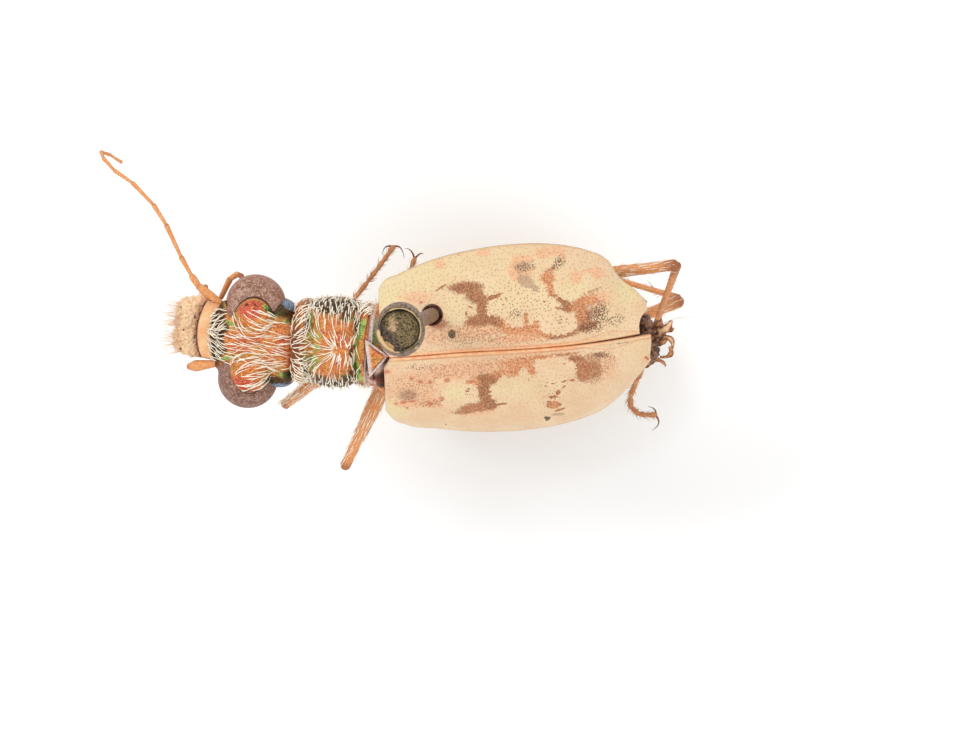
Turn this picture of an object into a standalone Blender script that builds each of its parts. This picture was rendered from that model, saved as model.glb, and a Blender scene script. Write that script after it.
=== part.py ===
"""A dried tiger beetle on an insect pin, at life size, over a small oval base.

The frame is in metres with +Z up. The origin is the middle of the pin, on the underside of the base.
The head points along -X and the beetle's own right side along +Y. Sizes are written in millimetres.
"""
import math

import bmesh
import bpy
from mathutils import Matrix, Vector

MM = 0.001
GAP = 0.12                # clear space between neighbouring pieces
ROLL = math.radians(9.5)  # the whole beetle leans on its pin, right side up

# Pin and base
PIN_RADIUS = 0.18
PIN_FOOT = 0.8
PIN_TOP = 17.25
PIN_HEAD_RADIUS = 0.57
PIN_HEAD_HEIGHT = 0.55
BASE_LENGTH = 6.4
BASE_WIDTH = 3.8
BASE_HEIGHT = 2.0
BASE_CENTRE = (1.1, -0.9)

# Elytra
ELYTRON_LENGTH = 5.93
ELYTRON_WALL = 0.5
ELYTRON_SWEEP = math.radians(75)
ELYTRON_STATIONS = 20
ELYTRON_ROWS = 9
SUTURE_GAP = 0.07
# distance from the shoulder, half width, and how far the edge lies below the suture
ELYTRON_OUTLINE = (
    (-0.20, 1.33, 0.72), (0.00, 1.58, 0.84), (0.30, 1.70, 0.90), (0.85, 1.88, 0.95), (1.45, 2.03, 1.00),
    (2.10, 2.12, 1.03), (2.90, 2.15, 1.03), (3.65, 2.10, 1.02), (4.17, 2.00, 0.98), (4.66, 1.83, 0.90),
    (5.04, 1.60, 0.80), (5.30, 1.36, 0.68), (5.50, 1.12, 0.56), (5.72, 0.84, 0.42), (5.88, 0.52, 0.27),
    (5.95, 0.30, 0.16),
)

# Head
EYE_RADIUS = 0.64
EYE_SPREAD = 0.89         # from the middle of the head to the middle of an eye
EYE_INNER_FACE = 0.60
MOUTH_SHIFT = 0.08        # the dried mouthparts have drifted to the right

# Limb thickness
COXA_RADIUS = 0.32
FEMUR_RADIUS = 0.26
TIBIA_RADIUS = 0.24
TARSUS_RADIUS = 0.21
CLAW_RADIUS = 0.10
ANTENNA_RADIUS = 0.24
ANTENNA_TIP_RADIUS = 0.14
PALP_RADIUS = 0.2

for old in list(bpy.data.objects):
    bpy.data.objects.remove(old, do_unlink=True)

beetle = bpy.data.collections.new("tiger_beetle")
cutters = bpy.data.collections.new("cutters")
for collection in (beetle, cutters):
    bpy.context.scene.collection.children.link(collection)


def material(name, colour, roughness, metallic=0.0):
    made = bpy.data.materials.new(name)
    made.use_nodes = True
    shader = made.node_tree.nodes["Principled BSDF"]
    shader.inputs["Base Color"].default_value = (*colour, 1.0)
    shader.inputs["Roughness"].default_value = roughness
    shader.inputs["Metallic"].default_value = metallic
    return made


COPPER = material("coppery_cuticle", (0.62, 0.24, 0.06), 0.3, 0.8)
CREAM = material("cream_elytron", (0.85, 0.68, 0.42), 0.4)
AMBER = material("amber_leg", (0.60, 0.28, 0.09), 0.4)
MAUVE = material("facetted_eye", (0.22, 0.13, 0.12), 0.35)
IVORY = material("ivory_labrum", (0.82, 0.58, 0.36), 0.4)
DARK = material("dark_venter", (0.08, 0.05, 0.04), 0.45)
BRASS = material("aged_brass", (0.20, 0.16, 0.08), 0.35, 1.0)


def frame(name, place, yaw):
    """A body section's own axes: +X to the tail, +Y to the beetle's right, +Z through its back."""
    axes = bpy.data.objects.new(name, None)
    axes.matrix_world = (
        Matrix.Translation(Vector(place) * MM) @ Matrix.Rotation(yaw, 4, "Z") @ Matrix.Rotation(ROLL, 4, "X")
    )
    beetle.objects.link(axes)
    return axes


HIND_BODY = frame("hind_body_axes", (-0.98, -0.99, 8.75), math.radians(5.5))
PROTHORAX = frame("prothorax_axes", (-2.26, -0.82, 8.60), math.radians(-4.3))
HEAD = frame("head_axes", (-4.16, -0.63, 8.00), math.radians(-5.9))


def add(name, mesh, finish, axes=None):
    piece = bpy.data.objects.new(name, mesh)
    piece.parent = axes
    if finish is None:
        cutters.objects.link(piece)
        piece.hide_render = True
        piece.display_type = "WIRE"
    else:
        beetle.objects.link(piece)
        mesh.materials.clear()
        mesh.materials.append(finish)
        mesh.shade_smooth()
    return piece


def mesh_from(name, vertices, faces):
    mesh = bpy.data.meshes.new(name)
    mesh.from_pydata([Vector(vertex) * MM for vertex in vertices], [], faces)
    work = bmesh.new()
    work.from_mesh(mesh)
    bmesh.ops.recalc_face_normals(work, faces=work.faces)
    work.to_mesh(mesh)
    work.free()
    return mesh


def smooth(piece, levels=1):
    soften = piece.modifiers.new("soften", "SUBSURF")
    soften.levels = levels
    soften.render_levels = levels
    return piece


def loft(name, stations, finish, axes, sides=10, power=2.3):
    """Rounded rings along +X: x, middle y, half width, top, bottom."""
    vertices = []
    for x, middle, half_width, top, bottom in stations:
        for k in range(sides):
            turn = 2 * math.pi * (k + 0.5) / sides
            across = math.copysign(abs(math.cos(turn)) ** (2 / power), math.cos(turn))
            up = math.copysign(abs(math.sin(turn)) ** (2 / power), math.sin(turn))
            vertices.append((x, middle + half_width * across, (top + bottom) / 2 + (top - bottom) / 2 * up))
    faces = [tuple(range(sides)), tuple(range(len(vertices) - sides, len(vertices)))]
    for ring in range(len(stations) - 1):
        for k in range(sides):
            a, b = ring * sides + k, ring * sides + (k + 1) % sides
            faces.append((a, b, b + sides, a + sides))
    return smooth(add(name, mesh_from(name, vertices, faces), finish, axes))


def along(points, spacing):
    """Evenly spaced points on a smooth curve through the given ones."""
    points = [Vector(point) for point in points]
    if len(points) == 2:
        fine = [points[0].lerp(points[1], k / 24) for k in range(25)]
    else:
        ends = [2 * points[0] - points[1], *points, 2 * points[-1] - points[-2]]
        fine = []
        for a, b, c, d in zip(ends, ends[1:], ends[2:], ends[3:]):
            for k in range(24):
                t = k / 24
                fine.append(
                    0.5 * ((2 * b) + (c - a) * t + (2 * a - 5 * b + 4 * c - d) * t ** 2
                           + (3 * b - a - 3 * c + d) * t ** 3)
                )
        fine.append(points[-1])
    lengths = [0.0]
    for a, b in zip(fine, fine[1:]):
        lengths.append(lengths[-1] + (b - a).length)
    count = max(2, round(lengths[-1] / spacing))
    even = []
    for k in range(count + 1):
        wanted = lengths[-1] * k / count
        j = max(1, next(i for i, length in enumerate(lengths) if length >= wanted - 1e-9))
        share = (wanted - lengths[j - 1]) / (lengths[j] - lengths[j - 1])
        even.append(fine[j - 1].lerp(fine[j], share))
    return even


def rounded_end(end, before, radius):
    """Rings of radius and place that close a limb in a dome, from the limb to its pole."""
    out = (end - before).normalized()
    return [(end + out * radius * math.sqrt(1 - share * share), radius * share) for share in (0.75, 0.35)]


def tube_mesh(name, points, radii, resolution=2, round_start=True, round_end=True):
    """A round limb through the points, given a radius at each, with domed or flat ends."""
    run = list(zip(points, radii))
    if round_start:
        run = rounded_end(points[0], points[1], radii[0])[::-1] + run
    if round_end:
        run = run + rounded_end(points[-1], points[-2], radii[-1])
    curve = bpy.data.curves.new(name, "CURVE")
    curve.dimensions = "3D"
    curve.bevel_depth = MM
    curve.bevel_resolution = resolution
    curve.use_fill_caps = True
    spline = curve.splines.new("POLY")
    spline.points.add(len(run) - 1)
    for point, (place, radius) in zip(spline.points, run):
        point.co = (*(place * MM), 1.0)
        point.radius = radius
    holder = bpy.data.objects.new(name, curve)
    bpy.context.scene.collection.objects.link(holder)
    evaluated = holder.evaluated_get(bpy.context.evaluated_depsgraph_get())
    mesh = bpy.data.meshes.new_from_object(evaluated)
    bpy.data.objects.remove(holder)
    bpy.data.curves.remove(curve)
    work = bmesh.new()
    work.from_mesh(mesh)
    bmesh.ops.remove_doubles(work, verts=work.verts, dist=1e-7)
    bmesh.ops.recalc_face_normals(work, faces=work.faces)
    work.to_mesh(mesh)
    work.free()
    return mesh


def taper(points, start, end):
    last = len(points) - 1
    return [start + (end - start) * k / last for k in range(last + 1)]


def limb(name, points, start, end, finish, spacing=0.6, axes=None, **ends):
    run = along(points, spacing)
    return add(name, tube_mesh(name, run, taper(run, start, end), **ends), finish, axes)


def clear_of(points, neighbour, clearance):
    """The part of a path that keeps the clearance from the neighbour's path."""
    fine = along(points, 0.03)
    other = along(neighbour, 0.03)
    for k, point in enumerate(fine):
        if min((point - q).length for q in other) >= clearance:
            return fine[k:]
    return fine[-2:]


def cut(piece, cutter):
    change = piece.modifiers.new("cut", "BOOLEAN")
    change.operation = "DIFFERENCE"
    change.object = cutter
    return piece


def keep_largest(mesh):
    work = bmesh.new()
    work.from_mesh(mesh)
    work.verts.ensure_lookup_table()
    waiting = set(work.verts)
    shells = []
    while waiting:
        shell = set()
        front = [next(iter(waiting))]
        while front:
            vertex = front.pop()
            if vertex in shell:
                continue
            shell.add(vertex)
            front.extend(edge.other_vert(vertex) for edge in vertex.link_edges)
        waiting -= shell
        shells.append(shell)
    shells.sort(key=lambda shell: len(shell), reverse=True)
    spare = [vertex for shell in shells[1:] for vertex in shell]
    bmesh.ops.delete(work, geom=spare, context="VERTS")
    work.to_mesh(mesh)
    work.free()


def fuse(name, meshes, finish, axes=None):
    """One closed body from overlapping ones."""
    pieces = bpy.data.collections.new("pieces")
    bpy.context.scene.collection.children.link(pieces)
    objects = [bpy.data.objects.new(name, mesh) for mesh in meshes]
    body = objects[0]
    bpy.context.scene.collection.objects.link(body)
    for piece in objects[1:]:
        pieces.objects.link(piece)
    union = body.modifiers.new("union", "BOOLEAN")
    union.operation = "UNION"
    union.operand_type = "COLLECTION"
    union.collection = pieces
    evaluated = body.evaluated_get(bpy.context.evaluated_depsgraph_get())
    mesh = bpy.data.meshes.new_from_object(evaluated)
    for piece in objects:
        bpy.data.objects.remove(piece)
    bpy.data.collections.remove(pieces)
    keep_largest(mesh)
    return add(name, mesh, finish, axes)


# Base with its blind hole, and the pin that stands in it
def oval_base():
    bpy.ops.mesh.primitive_cylinder_add(vertices=40, radius=0.5, depth=1.0)
    base = bpy.context.object
    mesh = base.data
    mesh.transform(
        Matrix.Translation(Vector((*BASE_CENTRE, BASE_HEIGHT / 2)) * MM)
        @ Matrix.Diagonal(Vector((BASE_LENGTH, BASE_WIDTH, BASE_HEIGHT, 1000)) * MM)
    )
    bpy.data.objects.remove(base)
    piece = add("stand_base", mesh, BRASS)
    ease = piece.modifiers.new("ease", "BEVEL")
    ease.width = 0.15 * MM
    ease.segments = 2
    ease.limit_method = "ANGLE"
    bore = tube_mesh(
        "bore", [Vector((0, 0, PIN_FOOT)), Vector((0, 0, BASE_HEIGHT + 2))], [PIN_RADIUS + GAP] * 2, 3
    )
    return cut(piece, add("bore", bore, None))


def turned(name, profile, steps, finish):
    """A profile of radius and height, from the top of the axis to its foot, turned round Z."""
    mesh = bpy.data.meshes.new(name)
    points = [Vector((radius, 0, height)) * MM for radius, height in profile]
    mesh.from_pydata(points, [(k, k + 1) for k in range(len(points) - 1)], [])
    piece = add(name, mesh, finish)
    turn = piece.modifiers.new("turn", "SCREW")
    turn.steps = steps
    turn.render_steps = steps
    turn.use_merge_vertices = True
    turn.merge_threshold = 1e-7
    return piece


def insect_pin():
    top, height, radius = PIN_TOP, PIN_HEAD_HEIGHT, PIN_HEAD_RADIUS
    profile = (
        (0.0, top - 0.12),
        (0.24, top - 0.12),
        (0.36, top),
        (0.48, top - 0.03),
        (radius, top - 0.45 * height),
        (0.50, top - 0.80 * height),
        (0.30, top - height),
        (PIN_RADIUS, top - 1.25 * height),
        (PIN_RADIUS, PIN_FOOT + 0.4),
        (0.0, PIN_FOOT + 0.2),
    )
    return turned("insect_pin", profile, 20, BRASS)


oval_base()
insect_pin()
pin_hole = add(
    "pin_hole",
    tube_mesh("pin_hole", [Vector((0, 0, 4)), Vector((0, 0, 11))], [PIN_RADIUS + GAP] * 2, 3),
    None,
)


# Elytra: each is half of the back's shell, arched over the abdomen and curled down at its edge
def outline_at(x, column):
    for (x0, *low), (x1, *high) in zip(ELYTRON_OUTLINE, ELYTRON_OUTLINE[1:]):
        if x <= x1:
            share = max(0.0, (x - x0) / (x1 - x0))
            return low[column] + (high[column] - low[column]) * share
    return ELYTRON_OUTLINE[-1][1 + column]


def suture_height(x):
    front = 0.10 * max(0.0, 1 - x / 1.4) ** 2
    tail = 0.62 * max(0.0, (x - 3.0) / 2.95) ** 2.2
    return -front - tail


def elytron(name, side, tip_recess):
    vertices = []
    for i in range(ELYTRON_STATIONS + 1):
        run = math.sin(math.pi / 2 * i / ELYTRON_STATIONS) ** 1.15
        for j in range(ELYTRON_ROWS + 1):
            across = j / ELYTRON_ROWS
            start = 0.18 - 0.36 * min(1.0, across / 0.2)
            end = ELYTRON_LENGTH - tip_recess * max(0.0, 1 - across / 0.35)
            x = start + (end - start) * run
            width, drop = outline_at(x, 0), outline_at(x, 1)
            turn = ELYTRON_SWEEP * across
            y = SUTURE_GAP + (width - SUTURE_GAP) * math.sin(turn) / math.sin(ELYTRON_SWEEP)
            z = suture_height(x) - drop * (1 - math.cos(turn)) / (1 - math.cos(ELYTRON_SWEEP))
            vertices.append((x, side * y, z))
    faces = []
    row = ELYTRON_ROWS + 1
    for i in range(ELYTRON_STATIONS):
        for j in range(ELYTRON_ROWS):
            a = i * row + j
            faces.append((a, a + row, a + row + 1, a + 1) if side > 0 else (a, a + 1, a + row + 1, a + row))
    mesh = bpy.data.meshes.new(name)
    mesh.from_pydata([Vector(vertex) * MM for vertex in vertices], [], faces)
    piece = add(name, mesh, CREAM, HIND_BODY)
    wall = piece.modifiers.new("wall", "SOLIDIFY")
    wall.thickness = ELYTRON_WALL * MM
    wall.offset = -1
    wall.use_even_offset = False
    return piece


cut(elytron("elytron_right", 1, 0.22), pin_hole)
elytron("elytron_left", -1, 0.03)


def plate(name, outline, top, bottom, finish, axes):
    count = len(outline)
    vertices = [(x, y, top) for x, y in outline] + [(x, y, bottom) for x, y in outline]
    faces = [tuple(range(count)), tuple(range(2 * count - 1, count - 1, -1))]
    for k in range(count):
        other = (k + 1) % count
        faces.append((k, other, other + count, k + count))
    return add(name, mesh_from(name, vertices, faces), finish, axes)


plate(
    "scutellum",
    [(-0.36, 0.34), (-0.20, 0.19), (-0.03, 0.0), (-0.20, -0.19), (-0.36, -0.34)],
    -0.06, -0.40, COPPER, HIND_BODY,
)

# Body behind the prothorax: the legged part under the elytra, then the abdomen and its torn tip
pterothorax = loft(
    "pterothorax",
    (
        (-0.26, 0.0, 0.80, -0.58, -1.70), (-0.10, 0.0, 1.10, -0.60, -2.00), (0.40, 0.0, 1.38, -0.64, -2.25),
        (1.20, 0.0, 1.50, -0.66, -2.35), (2.40, 0.0, 1.48, -0.72, -2.35), (2.72, 0.0, 1.35, -0.78, -2.20),
    ),
    DARK, HIND_BODY,
)
cut(pterothorax, pin_hole)
loft(
    "abdomen",
    (
        (2.84, 0.0, 1.30, -0.80, -2.10), (3.00, 0.0, 1.42, -0.79, -2.14), (3.50, 0.0, 1.34, -0.82, -2.08),
        (4.20, 0.0, 1.12, -0.95, -1.95), (5.00, -0.05, 0.78, -1.05, -1.85), (5.45, -0.10, 0.50, -1.15, -1.75),
    ),
    DARK, HIND_BODY,
)


def abdomen_tip():
    core = loft(
        "tip_core",
        ((5.57, -0.15, 0.35, -1.10, -1.75), (5.75, -0.2, 0.48, -0.98, -1.80), (6.05, -0.2, 0.42, -1.02, -1.72),
         (6.2, -0.25, 0.25, -1.15, -1.60)),
        None, None,
    )
    evaluated = core.evaluated_get(bpy.context.evaluated_depsgraph_get())
    meshes = [bpy.data.meshes.new_from_object(evaluated)]
    bpy.data.objects.remove(core)
    # curled flaps and short prongs: root, tip
    for root, tip in (
        ((6.0, 0.0, -1.3), (6.42, 0.05, -1.25)),
        ((6.0, -0.35, -1.35), (6.40, -0.55, -1.35)),
        ((5.95, -0.45, -1.4), (6.15, -0.98, -1.45)),
        ((5.75, -0.45, -1.4), (5.78, -0.92, -1.45)),
    ):
        run = along([root, tip], 0.2)
        meshes.append(tube_mesh("flap", run, taper(run, 0.18, 0.08)))
    return fuse("abdomen_tip", meshes, DARK, HIND_BODY)


abdomen_tip()

# Prothorax: a barrel with a groove across its front and another before its raised hind margin
prothorax = loft(
    "prothorax",
    (
        (-0.93, 0.02, 0.80, -0.20, -1.45), (-0.80, 0.02, 0.93, -0.07, -1.65), (-0.62, 0.02, 0.90, -0.15, -1.75),
        (-0.35, 0.02, 1.00, 0.02, -1.88), (0.10, 0.02, 1.04, 0.03, -1.92), (0.42, 0.02, 0.97, -0.04, -1.85),
        (0.58, 0.02, 0.90, -0.16, -1.75), (0.70, 0.02, 0.96, -0.07, -1.70), (0.80, 0.02, 0.90, -0.15, -1.60),
    ),
    COPPER, PROTHORAX, sides=12,
)

# Head: a capsule with a pit for each eye; the eyes are domes with a flat inner face
head = loft(
    "head",
    (
        (-0.86, MOUTH_SHIFT, 0.62, 0.10, -0.30), (-0.74, MOUTH_SHIFT, 0.70, 0.20, -0.62),
        (-0.45, 0.04, 0.76, 0.30, -0.86), (-0.05, 0.0, 0.84, 0.46, -0.98), (0.35, 0.0, 0.98, 0.49, -1.00),
        (0.62, 0.0, 1.02, 0.44, -0.95), (0.80, 0.0, 0.94, 0.34, -0.82), (0.86, 0.0, 0.80, 0.25, -0.70),
    ),
    COPPER, HEAD, sides=12,
)


def eye(name, side, finish, extra=0.0):
    work = bmesh.new()
    bmesh.ops.create_uvsphere(work, u_segments=18, v_segments=12, radius=(EYE_RADIUS + extra) * MM)
    bmesh.ops.translate(work, verts=work.verts, vec=Vector((0.0, side * EYE_SPREAD, -0.03)) * MM)
    cut_at = Vector((0, side * (EYE_INNER_FACE - extra), 0)) * MM
    parted = bmesh.ops.bisect_plane(
        work, geom=work.verts[:] + work.edges[:] + work.faces[:], plane_co=cut_at,
        plane_no=(0, side, 0), clear_inner=True, dist=1e-8,
    )
    rim = [edge for edge in parted["geom_cut"] if isinstance(edge, bmesh.types.BMEdge)]
    bmesh.ops.contextual_create(work, geom=rim)
    bmesh.ops.recalc_face_normals(work, faces=work.faces)
    mesh = bpy.data.meshes.new(name)
    work.to_mesh(mesh)
    work.free()
    return add(name, mesh, finish, HEAD)


for side, word in ((1, "right"), (-1, "left")):
    eye("eye_" + word, side, MAUVE)
    cut(head, eye("eye_pit_" + word, side, None, GAP))

# Mouth: the broad labrum over a pair of closed mandibles, and the block that carries the palps
loft(
    "labrum",
    (
        (-1.36, MOUTH_SHIFT, 0.55, -0.10, -0.36), (-1.28, MOUTH_SHIFT, 0.66, -0.04, -0.40),
        (-1.05, MOUTH_SHIFT, 0.68, 0.04, -0.42), (-0.98, MOUTH_SHIFT, 0.62, 0.04, -0.38),
    ),
    IVORY, HEAD,
)
for side, word in ((1, "right"), (-1, "left")):
    middle = MOUTH_SHIFT + side * 0.01
    limb(
        "mandible_" + word,
        [(-1.08, middle + side * 0.38, -0.82), (-1.40, middle + side * 0.42, -0.83),
         (-1.64, middle + side * 0.26, -0.84)],
        0.28, 0.2, IVORY, 0.2, HEAD,
    )
loft(
    "maxillae",
    ((-1.00, MOUTH_SHIFT, 0.30, -1.24, -1.45), (-0.85, MOUTH_SHIFT, 0.42, -1.10, -1.52),
     (-0.45, 0.04, 0.46, -1.10, -1.55), (-0.25, 0.0, 0.34, -1.18, -1.45)),
    IVORY, HEAD, sides=8,
)
for side, word in ((1, "right"), (-1, "left")):
    limb(
        "maxillary_palp_" + word,
        [(-0.75, side * 0.68, -1.20), (-0.72, side * 1.15, -0.92), (-0.50, side * 1.34, -0.98),
         (-0.44, side * 1.24, -1.30)],
        PALP_RADIUS, 0.14, AMBER, 0.3, HEAD,
    )
    limb(
        "labial_palp_" + word,
        [(-1.22, MOUTH_SHIFT + side * 0.22, -1.40), (-1.46, MOUTH_SHIFT + side * 0.5, -1.38),
         (-1.30, MOUTH_SHIFT + side * 0.82, -1.30)],
        PALP_RADIUS, 0.14, AMBER, 0.3, HEAD,
    )

# Antennae in four lengths from the root; the left one is folded down and back under the head
ANTENNAE = {
    "right": ((-4.92, 0.36, 7.92), (-5.33, 0.62, 8.00), (-5.50, 0.83, 8.02), (-5.73, 1.27, 8.10),
              (-6.06, 2.01, 8.15), (-6.34, 2.45, 8.10), (-6.84, 2.96, 8.00), (-7.27, 3.23, 7.85),
              (-7.56, 3.49, 7.62), (-7.68, 3.66, 7.30), (-7.50, 3.58, 7.02), (-7.28, 3.44, 6.88)),
    "left": ((-5.02, -1.16, 7.78), (-5.48, -1.22, 7.68), (-5.78, -1.27, 7.40), (-5.92, -1.31, 6.80),
             (-5.94, -1.32, 6.30), (-5.85, -1.30, 5.30), (-5.41, -1.25, 4.50), (-4.64, -1.15, 4.05),
             (-3.83, -1.05, 3.85)),
}
ANTENNA_SHARES = (("scape", 0.0, 0.13), ("base", 0.13, 0.42), ("middle", 0.42, 0.71), ("tip", 0.71, 1.0))


def antenna(side, route):
    fine = along(route, GAP / 2)
    last = len(fine) - 1
    radii = taper(fine, ANTENNA_RADIUS, ANTENNA_TIP_RADIUS)
    for word, start, end in ANTENNA_SHARES:
        first, final = round(start * last), round(end * last)
        if final < last:
            final -= 2
        length = fine[first:final + 1]
        limb(
            f"antenna_{word}_{side}", length[::4] + length[-1:], radii[first], radii[final], AMBER, 0.4,
            round_start=word == "scape", round_end=word == "tip",
        )


for antenna_side, antenna_route in ANTENNAE.items():
    antenna(antenna_side, antenna_route)

# Legs: root of the coxa, trochanter, knee, ankle, then the tarsus to its claws, and which way the claws lie
LEGS = {
    "fore_right": dict(
        femur=((-2.42, -0.54, 6.40), (-3.69, -0.93, 5.30)),
        tibia=((-3.69, -0.93, 5.30), (-2.20, 0.15, 4.60)),
        tarsus=((-2.20, 0.15, 4.60), (-1.80, 0.68, 4.38), (-1.28, 1.41, 4.00)),
        claws=((-0.30, 0.02, -0.20), (0.08, -0.12, -0.28)),
    ),
    "fore_left": dict(
        femur=((-2.43, -1.24, 6.30), (-3.61, -2.15, 5.90)),
        tibia=((-3.61, -2.15, 5.90), (-2.72, -1.19, 4.60)),
        tarsus=((-2.72, -1.19, 4.60), (-2.30, -1.22, 4.15), (-2.02, -1.25, 3.75)),
        claws=((0.15, 0.22, -0.15), (0.15, -0.22, -0.15)),
    ),
    "mid_right": dict(
        femur=((-1.06, -0.55, 6.20), (-0.40, 0.86, 5.30)),
        tibia=((-0.40, 0.86, 5.30), (-1.43, -0.43, 3.90)),
        tarsus=((-1.43, -0.43, 3.90), (-1.10, 0.40, 3.60), (-0.85, 1.11, 3.30)),
        claws=((-0.20, 0.18, -0.05), (0.12, 0.18, -0.05)),
    ),
    "mid_left": dict(
        femur=((-1.13, -1.31, 6.20), (-2.30, -3.60, 5.30)),
        tibia=((-2.30, -3.60, 5.30), (-1.67, -1.97, 3.90)),
        tarsus=((-1.67, -1.97, 3.90), (-0.90, -1.88, 3.50), (-0.27, -1.84, 3.30)),
        claws=((0.15, 0.22, -0.05), (0.15, -0.22, -0.05)),
    ),
    "hind_right": dict(
        femur=((1.44, -0.22, 5.90), (3.40, 0.50, 6.35), (5.30, 1.06, 6.96)),
        tibia=((5.45, 1.10, 7.00), (4.90, -0.30, 5.45), (4.39, -1.60, 3.90)),
        tarsus=((4.37, -1.66, 3.82), (4.22, -2.00, 3.62), (4.17, -2.30, 3.45), (4.36, -2.50, 3.35),
                (4.76, -2.53, 3.30)),
        claws=((-0.05, 0.30, -0.05), (-0.08, -0.30, -0.08)),
    ),
    "hind_left": dict(
        femur=((1.33, -0.90, 6.00), (3.40, -0.40, 5.25), (5.35, 0.16, 4.55)),
        tibia=((5.45, 0.19, 4.50), (5.12, 0.50, 4.12), (3.99, 0.67, 3.85), (2.49, 1.17, 3.55)),
        tarsus=((2.49, 1.17, 3.55), (1.90, 0.95, 3.35), (1.32, 0.66, 3.15)),
        claws=((-0.22, 0.15, -0.05), (-0.22, -0.18, -0.05)),
    ),
}
COXA_BODY = {"fore": prothorax, "mid": pterothorax, "hind": pterothorax}


def claw_mesh(root, reach):
    """A short curved hook that bends back towards its own foot."""
    root, reach = Vector(root), Vector(reach)
    middle = root + reach * 0.75
    sweep = along([root, middle, root + reach + Vector((0, 0, -0.12))], 0.13)
    return tube_mesh("claw", sweep, taper(sweep, CLAW_RADIUS + 0.03, CLAW_RADIUS * 0.6))


def leg(name, route):
    root = Vector(route["femur"][0])
    coxa = [root + Vector((0, 0, 0.62)), root + Vector((0, 0, 0.12))]
    for radius, finish, word in ((COXA_RADIUS, AMBER, "coxa_"), (COXA_RADIUS + GAP, None, "coxa_socket_")):
        piece = add(word + name, tube_mesh(word + name, coxa, [radius] * 2), finish)
    cut(COXA_BODY[name.split("_")[0]], piece)

    femur = clear_of(route["femur"], coxa, COXA_RADIUS + FEMUR_RADIUS + GAP)
    limb("femur_" + name, femur, FEMUR_RADIUS, FEMUR_RADIUS, AMBER)
    tibia = clear_of(route["tibia"], femur, FEMUR_RADIUS + TIBIA_RADIUS + GAP)
    limb("tibia_" + name, tibia, TIBIA_RADIUS, TIBIA_RADIUS, AMBER)

    tarsus = clear_of(route["tarsus"], tibia, TIBIA_RADIUS + TARSUS_RADIUS + GAP)
    run = along(tarsus, 0.22)
    foot = tube_mesh("tarsus", run, taper(run, TARSUS_RADIUS, 0.15))
    claws = [claw_mesh(run[-1], reach) for reach in route["claws"]]
    fuse("tarsus_" + name, [foot, *claws], AMBER)


for leg_name, leg_route in LEGS.items():
    leg(leg_name, leg_route)
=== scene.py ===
"""Looks of a dried tiger beetle on an insect pin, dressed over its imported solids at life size."""
import math
import random

import bmesh
import bpy
import numpy as np
from mathutils import Matrix, Vector
from mathutils.bvhtree import BVHTree


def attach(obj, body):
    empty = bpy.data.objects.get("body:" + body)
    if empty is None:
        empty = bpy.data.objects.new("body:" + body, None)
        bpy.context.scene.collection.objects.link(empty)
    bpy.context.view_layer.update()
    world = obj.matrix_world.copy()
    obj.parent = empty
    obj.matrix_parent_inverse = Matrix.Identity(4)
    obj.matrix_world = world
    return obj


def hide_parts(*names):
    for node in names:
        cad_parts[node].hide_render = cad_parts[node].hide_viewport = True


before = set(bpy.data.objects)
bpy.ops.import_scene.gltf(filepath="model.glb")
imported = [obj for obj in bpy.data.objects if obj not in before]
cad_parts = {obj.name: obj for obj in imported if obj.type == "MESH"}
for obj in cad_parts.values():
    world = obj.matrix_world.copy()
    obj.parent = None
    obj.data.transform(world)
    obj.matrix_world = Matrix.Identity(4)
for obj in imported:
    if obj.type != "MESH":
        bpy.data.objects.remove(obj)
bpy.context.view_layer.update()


# Camera and studio.
# A macro camera hangs over the beetle and leans a little to its tail and right side. Sizes are in
# millimetres. A white tent gives nearly shadowless light, with one large soft box at the head end.
MM = 0.001
scene = bpy.context.scene
scene.view_settings.view_transform = "Standard"

towards_camera = Vector((0.0749, 0.0447, 1.0)).normalized()
camera_right = (Vector((1, 0, 0)) - towards_camera * towards_camera.x).normalized()
camera_up = towards_camera.cross(camera_right)
aim = Vector((1.079, -1.160, 8.75))
CAMERA_DISTANCE = 150


def linked(name, data):
    """A new object in the scene, round a camera, a lamp or a mesh."""
    made = bpy.data.objects.new(name, data)
    scene.collection.objects.link(made)
    return made


camera_data = bpy.data.cameras.new("macro_camera")
camera_data.sensor_width = 36.0
camera_data.lens = 250.0
camera_data.clip_start = 10 * MM
camera = linked("macro_camera", camera_data)
camera.matrix_world = Matrix.Translation((aim + towards_camera * CAMERA_DISTANCE) * MM) @ Matrix(
    (camera_right, camera_up, towards_camera)
).transposed().to_4x4()
scene.camera = camera


def soft_box(name, place, size, power):
    """A round cloth lamp that faces the beetle."""
    lamp_data = bpy.data.lights.new(name, "AREA")
    lamp_data.shape = "DISK"
    lamp_data.size = size * MM
    lamp_data.energy = power
    lamp = linked(name, lamp_data)
    lamp.location = Vector(place) * MM
    lamp.rotation_mode = "QUATERNION"
    lamp.rotation_quaternion = (aim - Vector(place)).to_track_quat("-Z", "Y")


soft_box("soft_box_head", (-75, 60, 130), 60, 0.070)
soft_box("soft_box_tail", (70, -70, 120), 110, 0.035)
tent = bpy.data.worlds.new("white_tent")
tent.use_nodes = True
tent_cloth = tent.node_tree.nodes["Background"]
tent_cloth.inputs["Color"].default_value = (1.0, 1.0, 1.0, 1.0)
tent_cloth.inputs["Strength"].default_value = 1.0
scene.world = tent


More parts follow.
